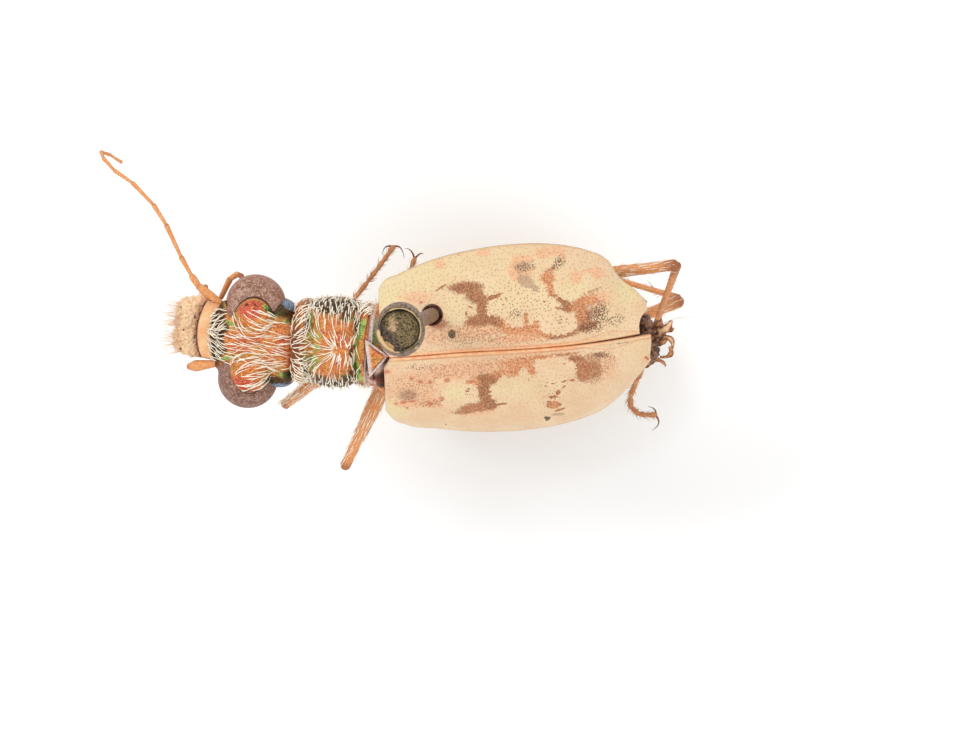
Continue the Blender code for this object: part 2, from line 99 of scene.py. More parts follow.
# Finishes are built from sockets that take part in sums, so that a pattern reads as its own formula.
class Shade:
    """One socket of a material. Arithmetic on it adds Math nodes, and node() adds any other node."""

    def __init__(self, tree, socket):
        self.tree = tree
        self.socket = socket

    def node(self, kind, settings=(), sockets=(), output=0):
        made = self.tree.nodes.new("ShaderNode" + kind)
        for name, value in dict(settings).items():
            setattr(made, name, value)
        for name, value in dict(sockets).items():
            if isinstance(value, Shade):
                self.tree.links.new(value.socket, made.inputs[name])
            else:
                made.inputs[name].default_value = value
        return Shade(self.tree, made.outputs[output])

    def maths(self, operation, *values):
        return self.node("Math", {"operation": operation}, enumerate(values))

    def __add__(self, other):
        return self.maths("ADD", self, other)

    def __sub__(self, other):
        return self.maths("SUBTRACT", self, other)

    def __rsub__(self, other):
        return self.maths("SUBTRACT", other, self)

    def __mul__(self, other):
        return self.maths("MULTIPLY", self, other)

    __radd__ = __add__
    __rmul__ = __mul__

    def step(self, low, high):
        """0 below low and 1 above high, with a soft edge; high may be the lower one."""
        return self.node(
            "MapRange", {"interpolation_type": "SMOOTHSTEP"},
            {"Value": self, "From Min": low, "From Max": high},
        )

    def mix(self, without, present):
        """A colour by this mask: the first where it is 0, the second where it is 1."""
        return self.node("Mix", {"data_type": "RGBA"}, {"Factor": self, 6: without, 7: present}, 2)

    def painted(self, name, output="Fac"):
        """A value that the mesh carries at each of its points."""
        return self.node("Attribute", {"attribute_name": name}, (), output)

    def place(self):
        """Where a point lies in the object, in metres."""
        return self.node("TexCoord", (), (), "Object")

    def speckle(self, size, detail=2.0):
        """Smooth noise from 0 to 1 with patches of the given size in millimetres."""
        scale = 1 / (size * MM)
        return self.node("TexNoise", (), {"Vector": self.place(), "Scale": scale, "Detail": detail})

    def cells(self, size, spread=1.0):
        """The distance to the nearest of many scattered dots, of the given spacing in millimetres."""
        scale = 1 / (size * MM)
        return self.node("TexVoronoi", (), {"Vector": self.place(), "Scale": scale, "Randomness": spread})

    def bump(self, height, depth):
        """A normal from a height that runs from 0 to 1 over a depth in millimetres."""
        return self.node("Bump", (), {"Height": height, "Distance": depth * MM, "Strength": 1.0})


def colour(red, green, blue, light=1.30):
    """The paint that reads as this screen colour under the tent's light."""
    def linear(value):
        value /= 255
        return value / 12.92 if value <= 0.04045 else ((value + 0.055) / 1.055) ** 2.4
    return (linear(red) / light, linear(green) / light, linear(blue) / light, 1.0)


def start_finish(name):
    """A new material, and a Shade to build its pattern with."""
    made = bpy.data.materials.new(name)
    made.use_nodes = True
    return made, Shade(made.node_tree, made.node_tree.nodes["Principled BSDF"].outputs[0])


def surface(made, sockets):
    """Joins the pattern to the material's surface."""
    shader = made.node_tree.nodes["Principled BSDF"]
    for name, value in sockets.items():
        if isinstance(value, Shade):
            made.node_tree.links.new(value.socket, shader.inputs[name])
        else:
            shader.inputs[name].default_value = value


bpy.ops.mesh.primitive_plane_add(size=1.2)
floor = bpy.context.object
floor.name = "pale_floor"
floor_finish, paint = start_finish("pale_floor")
surface(floor_finish, {
    "Base Color": paint.speckle(30).mix((0.95, 0.95, 0.95, 1), (0.92, 0.92, 0.92, 1)),
    "Roughness": 0.8,
})
floor.data.materials.append(floor_finish)


# Base.
# A small oval block of turned and brushed brass, with a rounded foot, a groove under its rim and a bore for
# the pin. Its top is flat and it stands on its flat underside.
BASE_LENGTH = 6.4
BASE_WIDTH = 3.8
BASE_HEIGHT = 2.0
BASE_CENTRE = (1.1, -0.9)
BORE_RADIUS = 0.26


def shape(name, vertices, faces):
    """An object with a smooth mesh in millimetres, in the axes of its own section of the body."""
    mesh = bpy.data.meshes.new(name)
    mesh.from_pydata([tuple(vertex) for vertex in vertices], [], [tuple(face) for face in faces])
    work = bmesh.new()
    work.from_mesh(mesh)
    bmesh.ops.recalc_face_normals(work, faces=work.faces)
    work.to_mesh(mesh)
    work.free()
    return linked(name, mesh)


def applied(piece):
    """Writes a piece's modifiers into its mesh."""
    evaluated = piece.evaluated_get(bpy.context.evaluated_depsgraph_get())
    mesh = bpy.data.meshes.new_from_object(evaluated)
    piece.modifiers.clear()
    piece.data = mesh
    return piece


def drilled(piece, hole, crossing=False):
    """Cuts a closed shape out of a piece. crossing is for a hole that meets more than one of its faces."""
    drill = piece.modifiers.new("drill", "BOOLEAN")
    drill.operation = "DIFFERENCE"
    drill.object = hole
    drill.use_self = crossing
    applied(piece)
    bpy.data.objects.remove(hole)


def points_of(piece):
    """The places of a mesh's points, one row for each."""
    flat = np.zeros(len(piece.data.vertices) * 3)
    piece.data.vertices.foreach_get("co", flat)
    return flat.reshape(-1, 3)


def normals_of(piece):
    flat = np.zeros(len(piece.data.vertices) * 3)
    piece.data.vertices.foreach_get("normal", flat)
    return flat.reshape(-1, 3)


def carry(piece, name, values):
    """Stores a number or a vector for each point of the mesh, for the finish to read."""
    values = np.asarray(values, np.float32)
    kind, field = ("FLOAT", "value") if values.ndim == 1 else ("FLOAT_VECTOR", "vector")
    piece.data.attributes.new(name, kind, "POINT").data.foreach_set(field, values.ravel())


def settle(piece, finish, axes=Matrix.Identity(4)):
    """Puts a finished piece in its place on the body, in metres, and lets it ride there."""
    piece.data.transform(Matrix.Scale(MM, 4) @ axes)
    piece.data.materials.clear()
    piece.data.materials.append(finish)
    piece.data.shade_smooth()
    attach(piece, "root")


def ringed(rings):
    """Points and faces of a body closed over rings of points that all have the same count."""
    rings = np.asarray(rings, float)
    count, sides = rings.shape[:2]
    grid = np.arange(count * sides).reshape(count, sides)
    other = np.roll(grid, -1, 1)
    faces = np.stack((grid[:-1], other[:-1], other[1:], grid[1:]), -1).reshape(-1, 4).tolist()
    faces += [grid[0].tolist(), grid[-1].tolist()]
    return rings.reshape(-1, 3), faces


# Distance in from the rim, and height
base_profile = (
    (0.30, 0.0), (0.10, 0.02), (0.02, 0.10), (0.0, 0.22), (0.02, 0.42), (0.12, 0.55), (0.15, 0.70),
    (0.15, 1.32), (0.11, 1.44), (0.04, 1.52), (0.0, 1.62), (0.0, 1.80), (0.03, 1.92), (0.10, 1.985),
    (0.22, BASE_HEIGHT), (1.2, BASE_HEIGHT),
)
base_turns = np.linspace(0, 2 * math.pi, 160, endpoint=False)
base_rings = [
    [
        (
            BASE_CENTRE[0] + (BASE_LENGTH / 2 - inset) * math.cos(turn),
            BASE_CENTRE[1] + (BASE_WIDTH / 2 - inset) * math.sin(turn),
            height,
        )
        for turn in base_turns
    ]
    for inset, height in base_profile
]
base = shape("oval_base", *ringed(base_rings))
bore_rings = [
    [(radius * math.cos(turn), radius * math.sin(turn), height) for turn in base_turns[::4]]
    for radius, height in ((BORE_RADIUS, 0.9), (BORE_RADIUS, 1.93), (BORE_RADIUS + 0.07, 2.05))
]
drilled(base, shape("bore", *ringed(bore_rings)))

brushed_brass, paint = start_finish("brushed_brass")
strokes = paint.node("Mapping", (), {"Vector": paint.place(), "Scale": (600, 14000, 14000)})
brushing = paint.node("TexNoise", (), {"Vector": strokes, "Scale": 1.0, "Detail": 3.0})
tarnish = paint.speckle(0.9, 4).step(0.42, 0.72)
surface(brushed_brass, {
    "Base Color": tarnish.mix((0.62, 0.42, 0.17, 1), (0.33, 0.22, 0.10, 1)),
    "Metallic": 1.0,
    "Roughness": 0.24 + 0.18 * brushing + 0.16 * tarnish,
    "Normal": paint.bump(brushing, 0.006),
})
settle(base, brushed_brass)
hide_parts("stand_base")


# Insect pin.
# An old brass pin whose cast head has gone dull and olive, with a raised ring round its dished top, a gouge
# and a worn bright crescent. A small glint near the edge and a thin arc on the ring are painted
# highlights. The shaft runs through the right wing cover and the body into the base.
PIN_TOP = 17.25
PIN_FOOT = 1.2
PIN_RADIUS = 0.165
PIN_FACE = PIN_TOP - 0.2
pin_profile = [(0.16, PIN_TOP - 0.125), (0.30, PIN_TOP - 0.11), (0.395, PIN_TOP - 0.075)]
pin_profile += [
    (0.435 + 0.020 * math.cos(turn), PIN_TOP - 0.045 + 0.040 * math.sin(turn))
    for turn in np.linspace(2.8, 0.0, 7)
]
pin_profile += [
    (0.42 + 0.14 * math.cos(turn), PIN_TOP - 0.26 + 0.19 * math.sin(turn))
    for turn in np.linspace(1.15, -1.2, 10)
]
pin_profile += [(0.34, PIN_TOP - 0.46), (0.24, PIN_TOP - 0.53), (0.19, PIN_TOP - 0.62)]
pin_profile += [(PIN_RADIUS, PIN_TOP - 0.75)]
pin_profile += [(PIN_RADIUS, height) for height in np.linspace(PIN_TOP - 1.5, PIN_FOOT + 0.9, 30)]
pin_profile += [(PIN_RADIUS * 0.7, PIN_FOOT + 0.4), (0.03, PIN_FOOT)]
pin_turns = np.linspace(0, 2 * math.pi, 64, endpoint=False)
pin_rings = []
# The head is a little oval, and its face is gouged and uneven
for radius, height in pin_profile:
    ring = []
    for turn in pin_turns:
        x, y = radius * math.cos(turn), radius * math.sin(turn)
        dent = 0.0
        if height > PIN_FACE:
            dent = 0.05 * math.exp(-((x + y + 0.40) / 0.09) ** 2)
            dent += 0.012 * math.sin(9 * x + 4 * y) + 0.010 * math.sin(23 * x - 17 * y)
        ring.append((x * (0.95 if radius > 0.2 else 1), y * (1.05 if radius > 0.2 else 1), height - dent))
    pin_rings.append(ring)
pin = shape("insect_pin_brass", *ringed(pin_rings))
x, y, z = points_of(pin).T
out = np.hypot(x, y)
on_head = z > PIN_FACE
lower_left = -(x + y) / math.sqrt(2)
across_it = (x - y) / math.sqrt(2)
wander = 0.03 * np.sin(17 * across_it) + 0.02 * np.sin(41 * across_it + 1)
gouge = np.exp(-((lower_left - 0.28 + wander) / 0.08) ** 2 - ((across_it - 0.02) / 0.40) ** 4)
crescent = np.exp(-((out - 0.44) / 0.055) ** 2 - ((lower_left - 0.44) / 0.12) ** 4)
painted_glint = np.exp(-((x - 0.34) ** 2 + (y + 0.40) ** 2) / 0.025**2)
# A painted highlight: a thin light arc along the ring, on its upper right side
painted_ring_highlight = np.exp(-((out - 0.455) / 0.016) ** 2) * (lower_left < -0.12) * (y > -0.2)
carry(pin, "gouge", on_head * gouge)
# The worn crescent, and a painted highlight: a small glint painted cream near the edge
carry(pin, "crescent_and_painted_glint", on_head * (crescent + painted_glint))
carry(pin, "rim", on_head * np.exp(-((out - 0.425) / 0.020) ** 2))
carry(pin, "painted_ring_highlight", on_head * painted_ring_highlight)
carry(pin, "pin_wear_and_left_eye_brown", on_head * np.exp(-(((x + 0.16) / 0.10) ** 2 + ((y - 0.13) / 0.19) ** 2)))
carry(pin, "side", np.clip((out - 0.47) / 0.04, 0, 1) * (z > PIN_TOP - 0.5))
carry(pin, "shank", (z < PIN_TOP - 0.6) * 1.0)
turning = np.arctan2(y, x)
around = (1.6 * np.cos(turning), 1.6 * np.sin(turning), np.where(on_head, 26 * out, 12 * z))
carry(pin, "turned", np.stack(around, -1))

aged_brass, paint = start_finish("aged_pin_brass")
turned = paint.painted("turned", "Vector")
scratches = paint.node("TexNoise", (), {"Vector": turned, "Scale": 1.6, "Detail": 5.0, "Roughness": 0.65})
pits = paint.speckle(0.05, 3)
patina = (0.6 * pits + 0.6 * scratches).step(0.50, 0.72)
brass = patina.mix(colour(154, 132, 92), colour(50, 40, 24))
brass = scratches.step(0.56, 0.68).mix(brass, colour(196, 168, 122))
brass = (paint.painted("pin_wear_and_left_eye_brown") + 2.4 * scratches - 1.3).step(0.30, 0.60).mix(brass, colour(214, 182, 142))
brass = paint.painted("side").mix(brass, patina.mix(colour(176, 154, 136), colour(124, 104, 86)))
brass = paint.painted("shank").mix(brass, patina.mix(colour(168, 132, 104), colour(104, 78, 58)))
brass = (paint.painted("rim") + 0.3 * scratches).step(0.45, 0.8).mix(brass, colour(46, 34, 22))
# The painted highlight on the ring, in pale gold
brass = (paint.painted("painted_ring_highlight") + 0.8 * scratches - 0.4).step(0.45, 0.7).mix(brass, colour(232, 202, 146))
# The worn crescent and the painted glint, in pale cream
brass = (paint.painted("crescent_and_painted_glint") + 0.3 * pits).step(0.35, 0.6).mix(brass, colour(250, 208, 150))
gouged = (paint.painted("gouge") + 0.8 * pits - 0.25).step(0.40, 0.60)
dirt = (0.5 * pits + 0.6 * scratches).step(0.45, 0.66)
brass = gouged.mix(brass, dirt.mix(colour(22, 15, 11), colour(126, 100, 80)))
surface(aged_brass, {
    "Base Color": brass,
    "Metallic": 0.6 - 0.6 * gouged,
    "Roughness": 0.40 + 0.3 * pits + 0.15 * gouged,
    "Normal": paint.bump(pits + 0.8 * scratches, 0.030),
})
settle(pin, aged_brass)
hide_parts("insect_pin")


# Elytra.
# Two wing covers of cream chitin, a tenth of a millimetre thick, arched over the abdomen. Their inner edges
# meet in a raised orange seam that opens to the tail, and the right one is torn round the pin.
ROLL = math.radians(9.5)
ELYTRON_WALL = 0.10
ELYTRON_SWEEP = math.radians(75)


def section(place, degrees):
    """A body section's own axes: +X to the tail, +Y to the beetle's right, +Z through its back."""
    yaw = Matrix.Rotation(math.radians(degrees), 4, "Z")
    return Matrix.Translation(Vector(place)) @ yaw @ Matrix.Rotation(ROLL, 4, "X")


hind_body = section((-0.98, -0.99, 8.75), 5.5)
# Distance from the shoulder, half width, and how far the edge lies below the seam
shoulder_to_hind_edge = (
    (0.85, 1.91, 0.95), (1.45, 2.04, 1.00),
    (2.10, 2.12, 1.03), (2.90, 2.15, 1.03), (3.65, 2.10, 1.02), (4.17, 2.00, 0.98), (4.66, 1.83, 0.90),
)
right_shoulder = ((-0.20, 1.36, 0.74), (0.00, 1.61, 0.84), (0.30, 1.72, 0.90))
left_shoulder = ((-0.30, 1.34, 0.74), (-0.20, 1.53, 0.82), (0.13, 1.75, 0.89))
elytron_outlines = {
    "right": np.array(right_shoulder + shoulder_to_hind_edge + (
        (5.02, 1.62, 0.82), (5.13, 1.50, 0.77), (5.23, 1.29, 0.71), (5.35, 1.11, 0.65), (5.55, 0.92, 0.56),
        (5.70, 0.77, 0.45), (5.86, 0.55, 0.33),
    )),
    "left": np.array(left_shoulder + shoulder_to_hind_edge + (
        (5.04, 1.57, 0.80), (5.30, 1.34, 0.68), (5.52, 1.13, 0.56), (5.70, 0.94, 0.46), (5.82, 0.80, 0.38),
        (5.90, 0.72, 0.34),
    )),
}


def through(x, table, column):
    """A smooth curve through a table's column against its first one, read at x."""
    xs, ys = np.asarray(table, float)[:, 0], np.asarray(table, float)[:, column]
    slopes = np.gradient(ys, xs)
    k = np.clip(np.searchsorted(xs, x) - 1, 0, len(xs) - 2)
    span = xs[k + 1] - xs[k]
    t = np.clip((x - xs[k]) / span, 0, 1)
    near = (2 * t**3 - 3 * t**2 + 1) * ys[k] + (t**3 - 2 * t**2 + t) * span * slopes[k]
    far = (3 * t**2 - 2 * t**3) * ys[k + 1] + (t**3 - t**2) * span * slopes[k + 1]
    return near + far


def suture_height(x):
    """The seam's height over the shoulders' level: lower in front, and drooping to the tail."""
    return -0.10 * np.maximum(0, 1 - x / 1.4) ** 2 - 0.62 * np.maximum(0, (x - 3.0) / 2.95) ** 2.2


def seam_at(x):
    """The seam bows to the left on its way to the tail."""
    share = np.clip((x - 0.8) / 3.6, 0, 1)
    return -0.11 * share**2 * (3 - 2 * share)


def seam_gap(x):
    """Half of the opening between the two covers."""
    return 0.001 + 0.026 * np.maximum(0, (x - 3.8) / 2.0) ** 1.2


def plate(name, grid_points, thickness):
    """A sheet over a grid of points, made solid below it."""
    grid_points = np.asarray(grid_points, float)
    count, width = grid_points.shape[:2]
    grid = np.arange(count * width).reshape(count, width)
    faces = np.stack((grid[:-1, :-1], grid[:-1, 1:], grid[1:, 1:], grid[1:, :-1]), -1).reshape(-1, 4)
    mesh = bpy.data.meshes.new(name)
    mesh.from_pydata(grid_points.reshape(-1, 3).tolist(), [], faces.tolist())
    mesh.update()
    if mesh.polygons[0].normal.z < 0:
        mesh.flip_normals()
    piece = linked(name, mesh)
    wall = piece.modifiers.new("wall", "SOLIDIFY")
    wall.thickness = thickness
    wall.offset = -1
    return applied(piece)


def elytron_shell(name, side, outline, length, tip_recess, lead, stations=240, rows=90):
    """A wing cover, swept round from its seam. Its front edge lies further forward at the side, by lead."""
    run = np.sin(math.pi / 2 * np.linspace(0, 1, stations + 1)) ** 1.15
    across = np.linspace(0, 1, rows + 1)
    run, across = np.meshgrid(run, across, indexing="ij")
    start = 0.02 - 0.15 * np.minimum(1, across / 0.10) - lead * across
    cut = np.clip((across - 0.1) / 0.65, 0, 1)
    end = length - tip_recess * (1 - cut**2 * (3 - 2 * cut))
    x = start + (end - start) * run
    width, drop = through(x, outline, 1), through(x, outline, 2)
    turn = ELYTRON_SWEEP * across
    gap = seam_gap(x)
    y = gap + (width - gap) * np.sin(turn) / math.sin(ELYTRON_SWEEP)
    z = suture_height(x) - drop * (1 - np.cos(turn)) / (1 - math.cos(ELYTRON_SWEEP))
    seam_bead = 0.030 * np.exp(-((y - gap - 0.045) / 0.03) ** 2)
    seam_bead -= 0.014 * np.exp(-((y - gap - 0.115) / 0.03) ** 2)
    edge_bead = 0.02 * np.exp(-((across - 0.965) / 0.018) ** 2)
    swell = 0.012 * np.sin(2.1 * x + 3 * y) * np.sin(1.3 * x - 2.2 * y)
    z = z + seam_bead * np.minimum(1, x / 0.5 + 0.3) + edge_bead + swell
    return plate(name, np.stack((x, side * y + seam_at(x) * (1 - across), z), -1), ELYTRON_WALL)


def blots(x, y, marks):
    """How deep a point lies in the nearest of some oval marks: 1 inside, 0.5 at the edge, 0 outside.

    A mark is its middle, its two half axes, the turn of the first in degrees, and its strength.
    """
    depth = np.zeros_like(x)
    for along, out, long, wide, degrees, strength in marks:
        c, s = math.cos(math.radians(degrees)), math.sin(math.radians(degrees))
        u = ((x - along) * c + (y - out) * s) / long
        v = (-(x - along) * s + (y - out) * c) / wide
        depth = np.maximum(depth, strength * np.clip(1.5 - np.sqrt(u * u + v * v), 0, 1))
    return depth


def depth_in(x, y, outline):
    """How far inside a closed outline each point lies, in millimetres, and below 0 outside it."""
    inside = np.zeros(x.shape, bool)
    nearest = np.full(x.shape, 9.0)
    for (x0, y0), (x1, y1) in zip(outline, outline[1:] + outline[:1]):
        run_x, run_y = x1 - x0, y1 - y0
        share = np.clip(((x - x0) * run_x + (y - y0) * run_y) / (run_x**2 + run_y**2), 0, 1)
        nearest = np.minimum(nearest, np.hypot(x - x0 - share * run_x, y - y0 - share * run_y))
        inside ^= ((y0 > y) != (y1 > y)) & (x < x0 + (y - y0) * run_x / (run_y or 1e-9))
    return np.where(inside, nearest, -nearest)


# Stains and marks: distance along the cover, distance out from the seam, half axes, degrees, strength
right_marks = {
    "stain": (
        (1.88, 1.39, 0.44, 0.13, -2, 1), (2.10, 1.20, 0.30, 0.18, -32, 1), (2.22, 0.92, 0.15, 0.32, 0, 1),
        (2.12, 0.66, 0.40, 0.15, 0, 0.92), (2.52, 0.60, 0.32, 0.14, -30, 1),
        (2.85, 0.38, 0.30, 0.13, -8, 0.95), (3.18, 0.36, 0.30, 0.13, 0, 0.95),
        (3.17, 0.60, 0.06, 0.20, 0, 1), (3.39, 0.46, 0.10, 0.16, 0, 1), (3.55, 0.22, 0.30, 0.10, -15, 0.9),
        (3.95, 0.13, 0.45, 0.06, 4, 0.85), (1.9, 0.36, 1.3, 0.28, 0, 0.43),
        (1.20, 0.66, 0.30, 0.16, 0, 0.62), (3.0, 0.18, 1.2, 0.16, 0, 0.48), (3.74, 1.42, 0.17, 0.14, 0, 1),
        (3.77, 1.17, 0.09, 0.20, 0, 1), (3.92, 0.97, 0.20, 0.06, -40, 1), (4.12, 0.82, 0.24, 0.08, -28, 1),
        (4.20, 0.72, 0.22, 0.10, 0, 1), (3.92, 0.76, 0.10, 0.03, -10, 0.9),
        (3.82, 1.58, 0.16, 0.05, 25, 0.8), (4.40, 0.76, 0.20, 0.16, 0, 1),
        (4.60, 0.84, 0.26, 0.13, 0, 0.86), (4.45, 0.50, 0.20, 0.28, 0, 1),
        (4.52, 0.28, 0.30, 0.12, 10, 0.9), (4.76, 0.62, 0.34, 0.34, 0, 0.50),
        (4.66, 1.00, 0.30, 0.08, 15, 0.55), (4.15, 0.18, 0.30, 0.05, 15, 0.75),
        (3.92, 0.46, 0.20, 0.16, 0, 0.42), (3.22, 1.66, 0.24, 0.20, 0, 0.38),
        (4.02, 1.70, 0.18, 0.12, 35, 0.45), (2.52, 0.85, 0.14, 0.10, 0, 0.42),
        (2.86, 0.62, 0.20, 0.14, 0, 0.40),
    ),
    "sharp": (
        (2.48, 1.14, 0.21, 0.045, 14, 1), (1.84, 0.84, 0.03, 0.07, 15, 0.95),
        (1.95, 0.97, 0.09, 0.022, -25, 0.9), (3.98, 0.73, 0.13, 0.022, -8, 0.9),
        (1.32, 1.44, 0.16, 0.022, 25, 0.9), (2.92, 0.90, 0.06, 0.02, -30, 0.7),
        (3.62, 0.93, 0.03, 0.04, 30, 0.75), (3.15, 0.94, 0.03, 0.015, 30, 0.7),
        (3.45, 0.95, 0.04, 0.02, 20, 0.7), (1.48, 0.42, 0.085, 0.095, 0, 1.1),
        (1.75, 2.05, 0.025, 0.02, 0, 1),
    ),
    "grey": (
        (3.24, 1.40, 0.20, 0.12, -28, 1), (3.42, 1.24, 0.14, 0.07, -30, 1),
        (2.50, 0.82, 0.13, 0.07, -30, 0.7), (2.66, 0.68, 0.12, 0.06, -30, 0.6),
        (4.74, 0.55, 0.16, 0.16, 0, 0.7), (3.18, 1.70, 0.24, 0.14, 0, 0.6),
    ),
    "pink": (
        (2.98, 1.62, 0.14, 0.20, 0, 1), (3.12, 1.84, 0.19, 0.11, 15, 1), (3.32, 1.86, 0.12, 0.08, 0, 1),
        (3.69, 1.93, 0.21, 0.11, 0, 1), (3.96, 1.92, 0.21, 0.09, -10, 1), (4.10, 1.80, 0.06, 0.10, 0, 0.9),
        (4.37, 1.35, 0.15, 0.15, 0, 1), (4.84, 1.37, 0.19, 0.12, -25, 1), (4.62, 1.45, 0.11, 0.05, 0, 0.9),
        (1.32, 1.89, 0.14, 0.09, 0, 1), (2.32, 2.04, 0.18, 0.06, 0, 1), (0.75, 1.28, 0.44, 0.14, 0, 0.7),
        (0.85, 1.17, 0.06, 0.045, 0, 1.2), (1.24, 0.68, 0.28, 0.14, 0, 0.9),
        (1.9, 0.44, 1.0, 0.20, 0, 0.75), (3.92, 0.44, 0.24, 0.18, 0, 0.8), (4.90, 0.82, 0.30, 0.20, 0, 0.7),
        (0.36, 1.30, 0.05, 0.04, 0, 1.1), (3.2, 0.20, 1.0, 0.14, 0, 0.8), (0.95, 0.45, 0.4, 0.3, 0, 0.6),
        (1.12, 0.86, 0.24, 0.30, 0, 0.8), (3.2, 1.66, 0.3, 0.26, 0, 0.7),
    ),
    "orange": (
        (0.85, 1.17, 0.05, 0.035, 0, 1), (1.24, 0.64, 0.06, 0.04, 0, 0.8), (4.46, 0.88, 0.10, 0.06, 0, 0.6),
    ),
    "rust": (
        (3.15, 0.38, 0.62, 0.40, 0, 1), (3.74, 1.36, 0.28, 0.22, 0, 1.1), (4.56, 0.86, 0.30, 0.14, 0, 1),
        (4.35, 0.60, 0.30, 0.30, 0, 0.62), (3.77, 1.1, 0.15, 0.2, 0, 0.7),
    ),
    "dark": (
        (4.84, 0.46, 0.18, 0.28, 0, 1), (4.64, 0.24, 0.34, 0.14, 0, 0.95), (3.25, 1.70, 0.26, 0.12, 0, 0.7),
        (4.00, 1.70, 0.18, 0.12, 40, 0.9), (5.15, 0.32, 0.22, 0.16, 0, 0.7), (4.6, 0.5, 0.14, 0.14, 0, 0.6),
        (2.95, 0.72, 0.20, 0.14, 0, 0.7), (3.95, 0.5, 0.2, 0.1, 0, 0.5),
    ),
    "freckle": (
        (2.8, 1.2, 3.2, 1.2, 0, 0.3), (2.95, 0.95, 0.62, 0.42, 0, 1), (3.55, 0.85, 0.40, 0.36, 0, 0.85),
        (3.94, 0.46, 0.22, 0.20, 0, 1.1), (2.60, 0.70, 0.16, 0.10, 0, 1), (3.0, 1.3, 0.4, 0.2, 0, 0.8),
    ),
    "yellow": (
        (0.9, 1.75, 1.3, 0.42, 8, 0.8), (0.1, 1.4, 0.4, 0.4, 0, 1), (1.6, 1.0, 0.3, 0.4, 0, 0.6),
        (5.45, 0.85, 0.3, 0.25, -45, 0.9), (3.0, 1.2, 1.6, 0.5, 0, 0.5), (4.3, 1.1, 0.4, 0.3, 0, 0.7),
        (2.5, 1.9, 1.5, 0.3, 0, 0.5), (5.0, 0.7, 0.5, 0.6, 0, 0.3),
    ),
    "spot": ((1.48, 0.42, 0.085, 0.095, 0, 1),),
}
